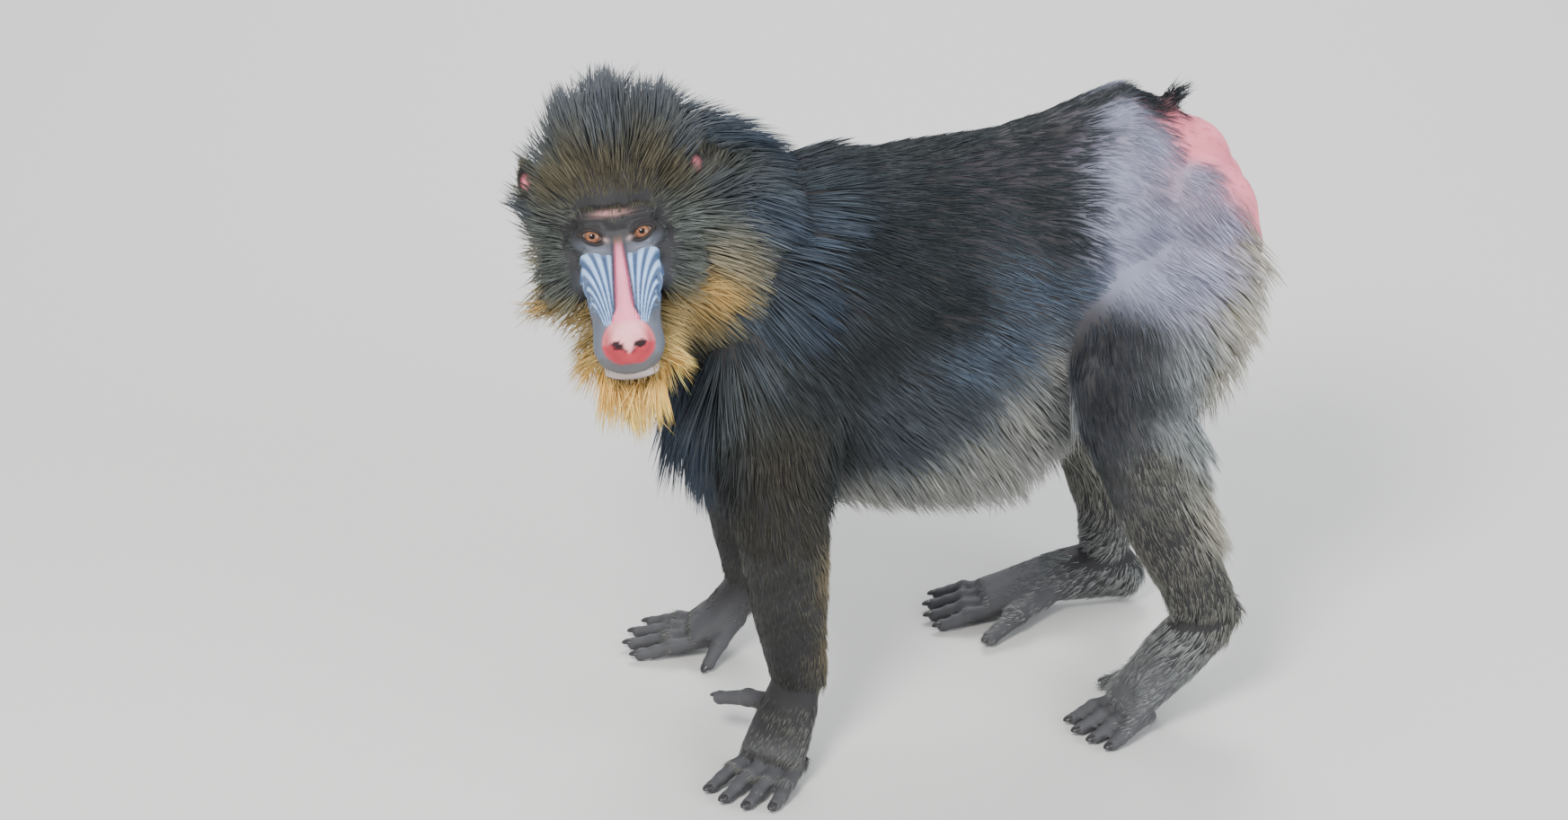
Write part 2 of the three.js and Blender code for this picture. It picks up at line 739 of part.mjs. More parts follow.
// The pale fringe of the belly
const BELLY_ROOTS = evenly(-52, 66, 4).map((x) => vec([x, 0, 330]));
const bellyLocks = coat(surfaceOf(bareTrunk), staggered(BELLY_ROOTS, [-30, -4, 22]), {
  across: [down, LEFTWARD],
  lie: () => vec([0.9, 0, -0.3]),
  length: 58,
  width: 54,
  lift: 5,
  fall: 0.1,
});
// The hair that hangs behind the rump and the thighs
const RUMP_ROOTS = [
  [206, 0, 470],
  [200, 0, 440],
].map(vec);
const rumpLocks = coat(surfaceOf(bareTrunk), staggered(RUMP_ROOTS, [-44, -15, 15, 44]), {
  across: [BACKWARD, RIGHTWARD],
  lie: () => vec([0.32, 0, -1]),
  length: 80,
  width: 40,
  lift: 5,
});
const thighLocks = [
  [NEAR_LEG, LEFTWARD],
  [FAR_LEG, RIGHTWARD],
].map(([rings, outward]) => {
  const line = curve(rings.slice(1, 5).map(vec3));
  const roots = evenly(0, 0.95, 4).map((t) => line.getPoint(t));
  return coat(surfaceOf(loft(rings, LIMB)), staggered(roots, [-32, 0, 32]), {
    across: [BACKWARD, outward],
    lie: () => vec([0.5, 0, -1]),
    length: 66,
    width: 36,
    lift: 5,
  });
});

// The trunk in three pieces, and the neck, each cut clear of its neighbours
const trunkFront = keep(bareTrunk, SHOULDER_CUT, flip(BACKWARD.toArray()));
const trunkRear = keep(bareTrunk, LOIN_CUT, LOIN_AXIS);
const trunkMiddle = keep(keep(bareTrunk, SHOULDER_CUT, BACKWARD.toArray()), LOIN_CUT, flip(LOIN_AXIS));
const neck = join([bareNeck, ...madeOf(maneLocks)]).subtract(trunkLoft(GAP)).subtract(headGrown);
const neckGrown = join([neckLoft(GAP), ...grownOf(maneLocks)]);
const chestHair = chestLocks.map((l) => l.made.subtract(neckLoft(GAP)));
const chestCut = join([headBulk, neck, ...grownOf(headLocks), ...grownOf(maneLocks)]);
const bellyHair = join(madeOf(bellyLocks)).subtract(join([trunkFront, trunkRear]));
add("neck", neck, FUR);
add("chest", join([trunkFront, ...chestHair]).subtract(chestCut), FUR);
add("abdomen", join([trunkMiddle, bellyHair]), FUR);

// Two bare hard pads under the tail
const PAD = { at: [254, 27, 494], radii: [16, 21, 27] };
const pad = (hand, grow) =>
  egg([PAD.at[0], hand * PAD.at[1], PAD.at[2]], PAD.radii, { sides: 10, bands: 7, grow });
const padsGrown = [pad(-1, GAP), pad(1, GAP)];
add("rump", join([trunkRear, ...madeOf(rumpLocks)]).subtract(join(padsGrown)), PALE_FUR);
add("ischial_pad_left", pad(-1, 0), SKIN, 0.7);
add("ischial_pad_right", pad(1, 0), SKIN, 0.7);

const frontBody = join([trunkLoft(GAP), neckGrown, headGrown, ...grownOf(chestLocks)]);
const rearHair = [...grownOf(rumpLocks), ...grownOf(bellyLocks)];
const rearBody = join([trunkLoft(GAP), trunkRear, ...padsGrown, ...rearHair]);

// A limb down to its wrist or ankle, in two pieces parted at the elbow or knee
function addLimb(names, rings, upperCut, lowerCut, body, locks = []) {
  const whole = loft(rings, LIMB).subtract(body);
  const upper = largest(keep(whole, upperCut.at, upperCut.across));
  const lower = keep(keep(whole, upperCut.at, flip(upperCut.across)), lowerCut.at, lowerCut.across);
  const lowerGrown = keep(loft(rings, { ...LIMB, grow: GAP }), upperCut.at, flip(upperCut.across));
  const hairCut = join([body, lowerGrown.translate([0, 0, GAP])]);
  const haired = locks.length ? join([upper, ...madeOf(locks)]).subtract(hairCut) : upper;
  add(names[0], haired, FUR);
  add(names[1], lower, FUR);
}
addLimb(["upper_arm_left", "forearm_left"], NEAR_ARM, NEAR_ELBOW, NEAR_WRIST, frontBody);
addLimb(["upper_arm_right", "forearm_right"], FAR_ARM, FAR_ELBOW, FAR_WRIST, frontBody);
addLimb(["thigh_left", "shank_left"], NEAR_LEG, NEAR_KNEE, NEAR_ANKLE, rearBody, thighLocks[0]);
addLimb(["thigh_right", "shank_right"], FAR_LEG, FAR_KNEE, FAR_ANKLE, rearBody, thighLocks[1]);
add("hand_left", nearHand, DARK_SKIN);
add("hand_right", farHand, DARK_SKIN);
add("foot_left", nearFoot, DARK_SKIN);
add("foot_right", farFoot, DARK_SKIN);

const TAIL = [
  [160, 0, 556, 16, 16],
  [178, 0, 590, 14, 14],
  [192, 0, 608, 10, 10],
];
add("tail", loft(TAIL, { sides: 10, steps: 1, up: [-1, 0, 0] }).subtract(trunkLoft(GAP)), OLIVE_FUR);

// The whole is moved so that it stands centred over the origin
const group = new THREE.Group();
for (const { name, made, colour, roughness } of nodes) {
  const material = new THREE.MeshStandardMaterial({ color: colour, roughness, metalness: 0 });
  const mesh = new THREE.Mesh(meshOf(made), material);
  mesh.name = name;
  group.add(mesh);
}
const middle = new THREE.Box3().setFromObject(group).getCenter(new THREE.Vector3());
for (const mesh of group.children) mesh.geometry.translate(-middle.x, -middle.y, 0);
export default group;
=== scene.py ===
"""An adult male mandrill on all fours, as a life-size still model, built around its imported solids.

Places are written in millimetres in the animal's own frame: the rump towards +X, its left side towards -Y,
the floor at z = 0 and the middle of the trunk over x = 0.
"""
import math
from collections import namedtuple
from contextlib import contextmanager

import bpy
import numpy as np
from mathutils import Matrix, Vector, kdtree


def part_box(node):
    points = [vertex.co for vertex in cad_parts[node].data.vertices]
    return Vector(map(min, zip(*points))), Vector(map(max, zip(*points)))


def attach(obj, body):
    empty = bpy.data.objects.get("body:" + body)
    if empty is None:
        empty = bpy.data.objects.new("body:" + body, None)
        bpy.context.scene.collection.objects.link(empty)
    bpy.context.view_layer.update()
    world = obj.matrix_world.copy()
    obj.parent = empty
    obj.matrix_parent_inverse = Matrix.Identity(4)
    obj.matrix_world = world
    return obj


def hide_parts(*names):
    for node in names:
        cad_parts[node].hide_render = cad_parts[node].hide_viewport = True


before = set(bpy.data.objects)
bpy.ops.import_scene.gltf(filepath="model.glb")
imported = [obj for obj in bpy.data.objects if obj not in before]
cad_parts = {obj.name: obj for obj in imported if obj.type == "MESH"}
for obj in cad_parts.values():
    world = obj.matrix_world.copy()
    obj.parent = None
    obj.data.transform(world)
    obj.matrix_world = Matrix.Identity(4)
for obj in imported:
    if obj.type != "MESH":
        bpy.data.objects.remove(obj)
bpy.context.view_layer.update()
NODES = sorted(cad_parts)
MM = 0.001
rng = np.random.default_rng(11)

# The head's own axes, from the point between the eyes

EYE_MID = np.array([-360.0, -130.0, 575.0])
GAZE_YAW = math.radians(11)
GAZE_LIFT = math.radians(27)
HEAD_ROLL = math.radians(6)
MUZZLE_DROP = math.radians(52)
HEAD_SCALE = 0.95
EYE_SPACING = 47.0
EYEBALL = 11.5


def bearing(yaw, lift):
    """The way out from the animal's left side, turned towards its head and lifted from the level."""
    return np.array([-math.sin(yaw) * math.cos(lift), -math.cos(yaw) * math.cos(lift), math.sin(lift)])


gaze = Vector(bearing(GAZE_YAW, GAZE_LIFT))
left = (-gaze).cross(Vector((0, 0, 1))).normalized()
crown = left.cross(-gaze)
roll = Matrix.Rotation(HEAD_ROLL, 3, gaze)
left, crown = roll @ left, roll @ crown
HEAD = np.array([gaze, left, crown]).T * HEAD_SCALE
SNOUT = np.array([
    [math.cos(MUZZLE_DROP), 0, math.sin(MUZZLE_DROP)],
    [0, 1, 0],
    [-math.sin(MUZZLE_DROP), 0, math.cos(MUZZLE_DROP)],
])


def head_point(side, forward, up):
    """A point of the head: how far towards the animal's left, along the gaze and towards the crown."""
    return EYE_MID + HEAD @ np.array([forward, side, up])


def snout_point(side, along, above):
    """A point of the snout: how far to the side, along the bridge of the nose and above it."""
    return EYE_MID + HEAD @ (SNOUT @ np.array([along, side, above]))


eye_design = head_point(EYE_SPACING / 2, 0, 0)
eye_low, eye_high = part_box("eye_left")
OFFSET = (np.array(eye_low) + np.array(eye_high)) / 2 - eye_design * MM


def place(points):
    """Points in the animal's frame, in millimetres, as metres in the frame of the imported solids."""
    return np.asarray(points, float) * MM + OFFSET


# Bodies are drawn as tubes and balls, each modelled at the origin and then set at its place

LENGTHWISE = [(1, 0, 0), (0, 1, 0), (0, 0, 1)]
DOWNWARD = [(0, 0, -1), (0, 1, 0), (1, 0, 0)]
UPWARD = [(0, 0, 1), (0, 1, 0), (-1, 0, 0)]
HEAD_AXES = [gaze, left, crown]
SNOUT_AXES = (HEAD @ SNOUT).T / HEAD_SCALE
END_REACH = 0.35  # how far a tube's rounded end stands out, as a share of its thinner half
END_SIZE = 0.6  # the disc there, as a share of the ring before it
QUARTER = math.pi / 2


def only(obj):
    """Leaves one piece selected and active."""
    bpy.ops.object.select_all(action="DESELECT")
    obj.select_set(True)
    bpy.context.view_layer.objects.active = obj


@contextmanager
def editing():
    """Edit mode on the active piece, with all of it selected."""
    bpy.ops.object.mode_set(mode="EDIT")
    bpy.ops.mesh.select_all(action="SELECT")
    yield
    bpy.ops.object.mode_set(mode="OBJECT")


def pose(axes, origin):
    """The turn into the given axes and the move to a place."""
    return Matrix.Translation(Vector(origin)) @ Matrix(np.array(axes).T.tolist()).to_4x4()


def end_disc(ring, way):
    """The smaller disc that rounds off a tube, before its first ring (-1) or behind its last (1)."""
    along, across, up, a, b = ring
    return along + way * END_REACH * min(a, b), across, up, a * END_SIZE, b * END_SIZE


def tube(rings, sides, axes, origin=(0, 0, 0)):
    """A disc extruded from ring to ring. Each ring is (along, across, up, half across, half up)."""
    bpy.ops.object.select_all(action="DESELECT")
    bpy.ops.mesh.primitive_circle_add(
        vertices=sides, radius=1, fill_type="NGON", rotation=(QUARTER, 0, QUARTER))
    obj = bpy.context.active_object
    bpy.ops.object.transform_apply(location=False, rotation=True, scale=False)
    with editing():
        before = end_disc(rings[0], -1)
        bpy.ops.transform.resize(value=(1, *before[3:]), center_override=(0, 0, 0))
        bpy.ops.transform.translate(value=before[:3])
        for ring in [*rings, end_disc(rings[-1], 1)]:
            step = [new - old for new, old in zip(ring[:3], before[:3])]
            growth = (1, ring[3] / before[3], ring[4] / before[4])
            bpy.ops.mesh.extrude_region_move(TRANSFORM_OT_translate={"value": step})
            bpy.ops.transform.resize(value=growth, center_override=ring[:3])
            before = ring
        bpy.ops.mesh.select_all(action="SELECT")
        bpy.ops.mesh.normals_make_consistent(inside=False)
    obj.data.transform(pose(axes, origin))
    return obj


def ball(centre, radii, axes=LENGTHWISE, segments=24):
    """A sphere sized along three axes."""
    bpy.ops.object.select_all(action="DESELECT")
    bpy.ops.mesh.primitive_uv_sphere_add(segments=segments, ring_count=segments // 2 + 2, radius=1)
    obj = bpy.context.active_object
    obj.scale = radii
    bpy.ops.object.transform_apply(location=False, rotation=False, scale=True)
    obj.data.transform(pose(axes, centre))
    return obj


# The body's rings: x, y, z, half width, half height

TRUNK = [
    [-246, 0, 418, 74, 112],
    [-200, 0, 416, 102, 150],
    [-150, 0, 410, 113, 163],
    [-100, 0, 404, 116, 164],
    [-40, 0, 402, 115, 171],
    [20, 0, 409, 110, 169],
    [70, 0, 430, 106, 160],
    [140, 0, 476, 100, 140],
    [196, 0, 488, 84, 98],
    [236, 0, 490, 58, 60],
]
NECK = [
    [-150, 0, 440, 82, 100],
    [-210, -6, 478, 84, 102],
    [-264, -22, 514, 84, 98],
    [-312, -44, 544, 78, 90],
    [-346, -62, 560, 68, 76],
]
# The limbs' rings: x, y, z, half thickness from side to side and from front to back
NEAR_ARM = [
    [-198, -60, 470, 34, 52],
    [-206, -86, 410, 44, 66],
    [-213, -106, 345, 41, 57],
    [-212, -120, 276, 35, 45],
    [-206, -122, 220, 32, 40],
    [-200, -119, 160, 28, 34],
    [-192, -113, 105, 25, 28],
    [-189, -110, 84, 24, 25],
]
FAR_ARM = [
    [-198, 60, 470, 34, 52],
    [-204, 86, 410, 44, 66],
    [-210, 104, 342, 41, 57],
    [-208, 117, 270, 35, 45],
    [-202, 118, 200, 31, 38],
    [-196, 115, 130, 26, 31],
    [-190, 111, 76, 23, 24],
]
NEAR_LEG = [
    [200, -42, 520, 32, 56],
    [178, -66, 478, 50, 84],
    [156, -86, 436, 52, 84],
    [132, -102, 392, 47, 68],
    [124, -113, 345, 41, 54],
    [136, -117, 296, 37, 49],
    [154, -118, 240, 32, 43],
    [172, -117, 190, 28, 39],
    [192, -115, 148, 23, 35],
    [202, -112, 120, 22, 32],
]
FAR_LEG = [
    [188, 42, 515, 32, 56],
    [160, 66, 470, 50, 84],
    [130, 88, 420, 51, 80],
    [108, 102, 365, 45, 64],
    [116, 110, 310, 41, 54],
    [136, 116, 240, 34, 44],
    [154, 121, 176, 28, 36],
    [168, 125, 110, 22, 27],
    [171, 127, 60, 21, 24],
]
TAIL = [
    [160, 0, 556, 15, 15],
    [178, 0, 590, 12, 12],
    [190, 0, 606, 8, 8],
]
# The snout's and jaw's rings in the snout's axes: along, across, above, half width, half height
SNOUT_RINGS = [
    [-8, 0, -32, 45, 37],
    [26, 0, -28, 38, 34],
    [60, 0, -25, 33, 31],
    [92, 0, -23, 32, 28],
    [118, 0, -22, 34, 27],
    [131, 0, -23, 30, 23],
]
JAW_RINGS = [
    [-30, 0, -74, 44, 26],
    [20, 0, -72, 37, 20],
    [60, 0, -68, 31, 16],
    [96, 0, -64, 28, 13],
    [118, 0, -62, 26, 11],
]
BRIDGE_RINGS = [
    [2, 0, -2, 5, 5],
    [30, 0, 5, 5, 6],
    [70, 0, 6, 6, 7],
    [100, 0, 5, 8.5, 8],
    [120, 0, 0, 15, 11],
]
RIDGE_START = 20
RIDGE_END = 114
RIDGE_PLACES = (20, 44, 68, 92, 108)

# Balls that round off the body and head: place and radii. Those in pairs are written for one side
RUMP = ((196, 0, 536), (50, 46, 44))
BODY_PAIRS = {
    "shoulder": ((-196, 62, 452), (62, 46, 84)),
    "haunch": ((190, 52, 500), (70, 44, 64)),
    "seat pad": ((250, 27, 494), (15, 19, 25)),
}
SKULL = ((0, -66, 28), (64, 74, 80))
BROW_MIDDLE = ((0, -3, 14), (16, 16, 13))
HEAD_PAIRS = {
    "cheek": ((45, -32, -26), (25, 23, 37)),
    "socket": ((25, -8, -2), (15, 21, 16)),
    "brow": ((22, 0, 19), (10, 17, 8)),
    "lids": ((EYE_SPACING / 2, -0.5, 0), (13.6, 14.4, 13.6)),
}
EAR = (79, -58, 60)
EAR_RADII = (5.5, 12.5, 19)
EAR_TURN = math.radians(28)
NOSE_TIP = ((0, 122, -14), (20, 23, 19))
NOSE_WING = ((11, 128, -5), (12, 10, 11))


def ridge_ring(hand, along):
    """A ring of the swollen flank of the nose beside the bridge, narrower towards the front."""
    t = (along - RIDGE_START) / (RIDGE_END - RIDGE_START)
    return along, hand * (25 - 8.5 * t), -8 + 2 * t, 14 - 6.5 * t, 15 - 5 * t


def upright(rings):
    """A limb's rings for the tube that runs downward."""
    return [[-z, y, x, side, deep] for x, y, z, side, deep in rings]


# Hands and feet: a palm or sole and its digits, fanned out from the knuckles

DIGIT = 8.2
DIGIT_BAR = 0.9  # a digit's thickness between its joints, as a share of that at them
DIGIT_FLAT = 0.92
FAN = 0.16
# A digit's root: place before the knuckles, share of their spread, radius as a share of DIGIT
KNUCKLE = (-14, 0.84, 1.02)
# The joints beyond it: shares of the length and of the fan, then height and radius as shares of DIGIT
JOINTS = [(0.42, 0.45, 1.75, 1.02), (0.72, 0.8, 1.15, 0.92), (1, 1, 0.78, 0.8)]
EXTREMITIES = {
    "hand_left": {
        "palm": [
            (-189, -109, 96, 22, 22), (-196, -115, 74, 26, 21), (-210, -130, 46, 32, 16),
            (-223, -145, 24, 34, 12),
        ],
        "knuckles": (-221, -143, 20), "heading": (-0.72, -0.69), "inward": (-0.69, 0.72), "width": 26,
        "lengths": (52, 60, 58, 46),
        "thumb": [(-204, -114, 62, 13), (-232, -82, 56, 10), (-254, -56, 44, 7.5)],
    },
    "hand_right": {
        "palm": [
            (-189, 111, 84, 22, 22), (-198, 113, 62, 26, 21), (-219, 118, 38, 31, 16),
            (-242, 124, 21, 33, 12),
        ],
        "knuckles": (-240, 124, 18), "heading": (-0.96, 0.27), "inward": (-0.27, -0.96), "width": 25,
        "lengths": (54, 63, 60, 48),
        "thumb": [(-208, 98, 42, 12), (-226, 84, 24, 9), (-240, 72, 8, 7)],
    },
    "foot_left": {
        "palm": [
            (232, -104, 118, 19, 16), (212, -106, 106, 25, 29), (176, -110, 72, 30, 28),
            (144, -113, 40, 33, 20), (124, -116, 23, 34, 13),
        ],
        "knuckles": (126, -116, 18), "heading": (-0.93, -0.36), "inward": (-0.36, 0.93), "width": 25,
        "lengths": (36, 42, 40, 34),
        "thumb": [(170, -96, 52, 14), (150, -70, 28, 12), (130, -44, 9, 8)],
    },
    "foot_right": {
        "palm": [
            (198, 126, 24, 20, 20), (174, 127, 40, 24, 31), (124, 128, 35, 28, 24),
            (78, 129, 24, 32, 16), (50, 130, 18, 33, 12),
        ],
        "knuckles": (50, 130, 16), "heading": (-0.995, 0.1), "inward": (-0.1, -0.995), "width": 25,
        "lengths": (46, 52, 50, 42),
        "thumb": [(106, 110, 26, 14), (72, 86, 19, 12), (40, 64, 9, 8.5)],
    },
}


def bar_axes(along):
    """Axes along a bar, level across it and up from it."""
    along = along.normalized()
    across = Vector((0, 0, 1)).cross(along).normalized()
    return [along, across, along.cross(across)]


def bar(start, end, half_start, half_end, sides):
    """A bar between two points, with its half width and half height at each."""
    start, end = Vector(start), Vector(end)
    rings = [(0, 0, 0, *half_start), ((end - start).length, 0, 0, *half_end)]
    return tube(rings, sides, bar_axes(end - start), start)


def digits_of(name):
    """The joints of each digit of a hand or foot, thumb or big toe last: lists of (point, radius)."""
    e = EXTREMITIES[name]
    knuckles, heading, inward = (np.array(e[key], float) for key in ("knuckles", "heading", "inward"))

    def spot(forward, inside, height):
        flat = knuckles[:2] + heading * forward + inward * inside
        return np.array([flat[0], flat[1], height])

    found = []
    for i, length in enumerate(e["lengths"]):
        across = (0.5 - i / 3) * 2
        spread, fan = across * e["width"], across * length * FAN
        behind, gathered, thick = KNUCKLE
        digit = [(spot(behind, spread * gathered, knuckles[2]), DIGIT * thick)]
        for reach, fanned, height, thick in JOINTS:
            digit.append((spot(length * reach, spread + fan * fanned, DIGIT * height), DIGIT * thick))
        found.append(digit)
    found.append([(np.array(p[:3], float), p[3]) for p in e["thumb"]])
    return found


def extremity(name):
    """A hand or foot: flat bars from the wrist to the knuckles, and digits with a ball at each joint."""
    palm = EXTREMITIES[name]["palm"]
    made = [bar(p[:3], q[:3], p[3:], q[3:], 16) for p, q in zip(palm, palm[1:])]
    for joints in digits_of(name):
        for (p, r), (q, s) in zip(joints, joints[1:]):
            ends = [(radius * DIGIT_BAR, radius * DIGIT_BAR * DIGIT_FLAT) for radius in (r, s)]
            made.append(bar(p, q, *ends, 12))
            made.append(ball(q, (s * 1.04, s * 1.04, s * 0.98), segments=12))
        root, radius = joints[0]
        made.append(ball(root, (radius,) * 3, segments=12))
    return made


def in_snout(rings, sides):
    """A tube of the head, its rings written in the snout's axes."""
    return tube([[value * HEAD_SCALE for value in ring] for ring in rings], sides, SNOUT_AXES, EYE_MID)


def head_ball(at, radii, hand=1, axes=HEAD_AXES):
    return ball(head_point(hand * at[0], at[1], at[2]), [r * HEAD_SCALE for r in radii], axes)


def snout_ball(at, radii, hand=1):
    return ball(snout_point(hand * at[0], at[1], at[2]), [r * HEAD_SCALE for r in radii], SNOUT_AXES)


def ear_axes(hand):
    turn = Matrix.Rotation(hand * EAR_TURN, 3, crown)
    return [turn @ axis for axis in HEAD_AXES]


def head_pieces():
    made = [head_ball(*SKULL), in_snout(SNOUT_RINGS, 32), in_snout(JAW_RINGS, 28)]
    made += [snout_ball(*NOSE_TIP), in_snout(BRIDGE_RINGS, 16), head_ball(*BROW_MIDDLE)]
    for hand in (-1, 1):
        made += [head_ball(at, radii, hand) for at, radii in HEAD_PAIRS.values()]
        made.append(head_ball(EAR, EAR_RADII, hand, ear_axes(hand)))
        made.append(snout_ball(*NOSE_WING, hand))
        made.append(in_snout([ridge_ring(hand, along) for along in RIDGE_PLACES], 20))
    return made


def body_pieces():
    made = [tube(TRUNK, 40, LENGTHWISE), tube(NECK, 36, LENGTHWISE)]
    made += [tube(upright(rings), 24, DOWNWARD) for rings in (NEAR_ARM, FAR_ARM, NEAR_LEG, FAR_LEG)]
    made.append(tube([[z, y, -x, a, b] for x, y, z, a, b in TAIL], 16, UPWARD))
    for hand in (-1, 1):
        made += [ball((x, hand * y, z), radii) for (x, y, z), radii in BODY_PAIRS.values()]
    made.append(ball(*RUMP))
    for name in EXTREMITIES:
        made += extremity(name)
    return made


# The skin

SKIN_VOXEL = 3.2 * MM
SOFTENING = 22  # rounds of smoothing where the trunk and limbs meet
FLOOR_GAP = 0.3


def joined(pieces, name):
    """Several pieces as one."""
    bpy.ops.object.select_all(action="DESELECT")
    for piece in pieces:
        piece.select_set(True)
    bpy.context.view_layer.objects.active = pieces[0]
    bpy.ops.object.join()
    made = bpy.context.active_object
    made.name = name
    made.data.name = name
    return made


def read(items, name, width, kind=np.float32):
    """One property of every item, a row for each."""
    values = np.empty(len(items) * width, kind)
    items.foreach_get(name, values)
    return values.reshape(-1, width)


def vertices_of(obj):
    return read(obj.data.vertices, "co", 3).astype(float)


def normals_of(obj):
    return read(obj.data.vertex_normals, "vector", 3).astype(float)


def placed_points(obj):
    """The vertices of a piece that stands at its place, in millimetres in the animal's frame."""
    return (vertices_of(obj) - OFFSET) / MM


def put_vertices(obj, co):
    obj.data.vertices.foreach_set("co", np.asarray(co, np.float32).ravel())
    obj.data.update()


def smoothed(obj, rounds, group=""):
    """Smooths a piece in so many rounds, all over or in one group of its vertices."""
    only(obj)
    modifier = obj.modifiers.new("smoothing", "SMOOTH")
    modifier.factor = 0.5
    modifier.iterations = rounds
    modifier.vertex_group = group
    bpy.ops.object.modifier_apply(modifier=modifier.name)


def smoothed_where(obj, rounds, choices):
    """Smooths the chosen vertices only. Each choice is (which vertices, how strongly)."""
    group = obj.vertex_groups.new(name="smoothed")
    for chosen, strength in choices:
        group.add(np.nonzero(chosen)[0].tolist(), strength, "REPLACE")
    smoothed(obj, rounds, group.name)
    obj.vertex_groups.clear()


def refine(obj, chosen):
    """Subdivides the faces whose every corner is chosen."""
    only(obj)
    bpy.ops.object.mode_set(mode="EDIT")
    bpy.ops.mesh.select_mode(type="VERT")
    bpy.ops.mesh.select_all(action="DESELECT")
    bpy.ops.object.mode_set(mode="OBJECT")
    obj.data.vertices.foreach_set("select", chosen)
    bpy.ops.object.mode_set(mode="EDIT")
    bpy.ops.mesh.select_mode(type="FACE")
    bpy.ops.mesh.subdivide(number_cuts=1, smoothness=0)
    bpy.ops.object.mode_set(mode="OBJECT")


def smooth(v, low, high):
    """0 below low, 1 above high, and a soft step between."""
    t = np.clip((v - low) / (high - low), 0, 1)
    return t * t * (3 - 2 * t)


def bump(v, centre, half):
    """1 at the centre, falling off softly to both sides."""
    return np.exp(-(((v - centre) / half) ** 2))


def head_coordinates(points):
    """Towards the animal's left, along the gaze and towards the crown, in the head's own units."""
    local = (points - EYE_MID) @ np.linalg.inv(HEAD).T
    return local[:, 1], local[:, 0], local[:, 2]


def snout_coordinates(points):
    """To the side, along the bridge of the nose and above it, in the head's own units."""
    local = (points - EYE_MID) @ np.linalg.inv(HEAD @ SNOUT).T
    return local[:, 1], local[:, 0], local[:, 2]


# The face's forms

BRIDGE = 10.0  # half the breadth of the bridge with the hollows beside it
RIBS = (0.6, 0.415)  # where the first groove lies, and the step to the next, in the fan's own measure
HOLLOW_OUT = 1.2  # how far outside the pink bridge the hollow beside it is deepest


def bridge_half(along):
    """Half the breadth of the pink bridge, which widens towards the nose."""
    return 4.4 + 4.2 * np.clip((along - 15) / 80, 0, 1) + 5 * smooth(along, 92, 108)


def ridge_fields(points):
    """How strongly a point lies on the ribbed flank of the nose, and its place across the fan of ribs."""
    side, along, above = snout_coordinates(points)
    t = np.clip((along - RIDGE_START) / (RIDGE_END - RIDGE_START), 0, 1)
    out = np.abs(side) - BRIDGE
    fan = out / (31 * np.exp(-1.9 * t))
    edge = 29.5 - 20 * np.clip((t - 0.33) / 0.67, 0, 1)
    inside = smooth(out, -4, -1.5) * (1 - smooth(out, edge - 2, edge + 1))
    slant = 31 - 0.22 * out
    ends = smooth(along, slant - 5, slant + 1) * (1 - smooth(along, 104, 114))
    return inside * ends * (above > -34), (fan - RIBS[0]) / RIBS[1]


EYE_SLANT = 0.30
LID_REACH = 10.8
LID_HEIGHT = 5.2


def opening(side, up, hand):
    """The almond opening between the lids, its outer corner higher than the inner: positive inside."""
    across = (side - hand * EYE_SPACING / 2) * hand
    reach = np.clip(1 - (across / LID_REACH) ** 2, 0, None)
    gap = LID_HEIGHT * reach ** 0.8 - np.abs(up + 0.7 - EYE_SLANT * across)
    outside = -np.hypot(np.abs(across) - LID_REACH, up - EYE_SLANT * across)
    return np.where(np.abs(across) < LID_REACH, gap, outside)


NOSE_DROP = 107
NOSTRIL_ACROSS = 11.0
NOSTRIL_UP = 2.0
NOSTRIL_HALF = (6.6, 4.0)
NOSTRIL_SLANT = 0.16
SLIT_DROP = 9  # how much lower the slit ends, at the middle, than it starts
NOSE_HALF = 25
NOSE_ABOVE = 26
NOSE_BELOW = 20


def nose_place(points):
    """Where a point lies on the nose's round front, seen from before it: across, up, both from its middle."""
    side, _, up = head_coordinates(points)
    return side, up + NOSE_DROP


def nostril(across, up, hand):
    """1 at the middle of a nostril, 0 at its rim, and the slit that runs from it down to the middle."""
    out = across * hand
    x = (out - NOSTRIL_ACROSS) / NOSTRIL_HALF[0]
    y = (up - NOSTRIL_UP - NOSTRIL_SLANT * (out - NOSTRIL_ACROSS)) / NOSTRIL_HALF[1]
    hole = np.clip(1 - x * x - y * y, 0, 1)
    inner = NOSTRIL_ACROSS - 3
    t = np.clip((inner - out) / inner, 0, 1)
    height = NOSTRIL_UP - 1 - SLIT_DROP * t
    slit = bump(up, height, 2.5) * smooth(out, 0, 1) * (out < NOSTRIL_ACROSS - 2)
    return hole, slit


def mouth_height(side):
    """The line of the mouth below the bridge of the nose, a little higher at its corners."""
    return -50.5 + 4.5 * (np.clip(np.abs(side), 0, 34) / 30) ** 2


# Folds along the mouth: how far out, height over the mouth's line, half breadth, where each sets in
LIP_FOLDS = [(-3.4, 0, 1.8, 50, 74), (1.2, 5.5, 3.5, 70, 96), (1.6, -6, 3.6, 74, 100)]
FOLDS_UNDER_EYE = (-13.5, -18.5)
BROW_LINE = (15.5, 0.1)  # its height at the middle and its rise to the side
EYE_NEAR = 22  # how far from an eye's centre its lids reach
EYE_SURFACE = 13.2
EYE_DEPTH = 5.5  # how far under the lids' surface the skin passes behind the eyeball
EAR_CUP = (9, 14.5)
EAR_CUP_DEPTH = 6.5


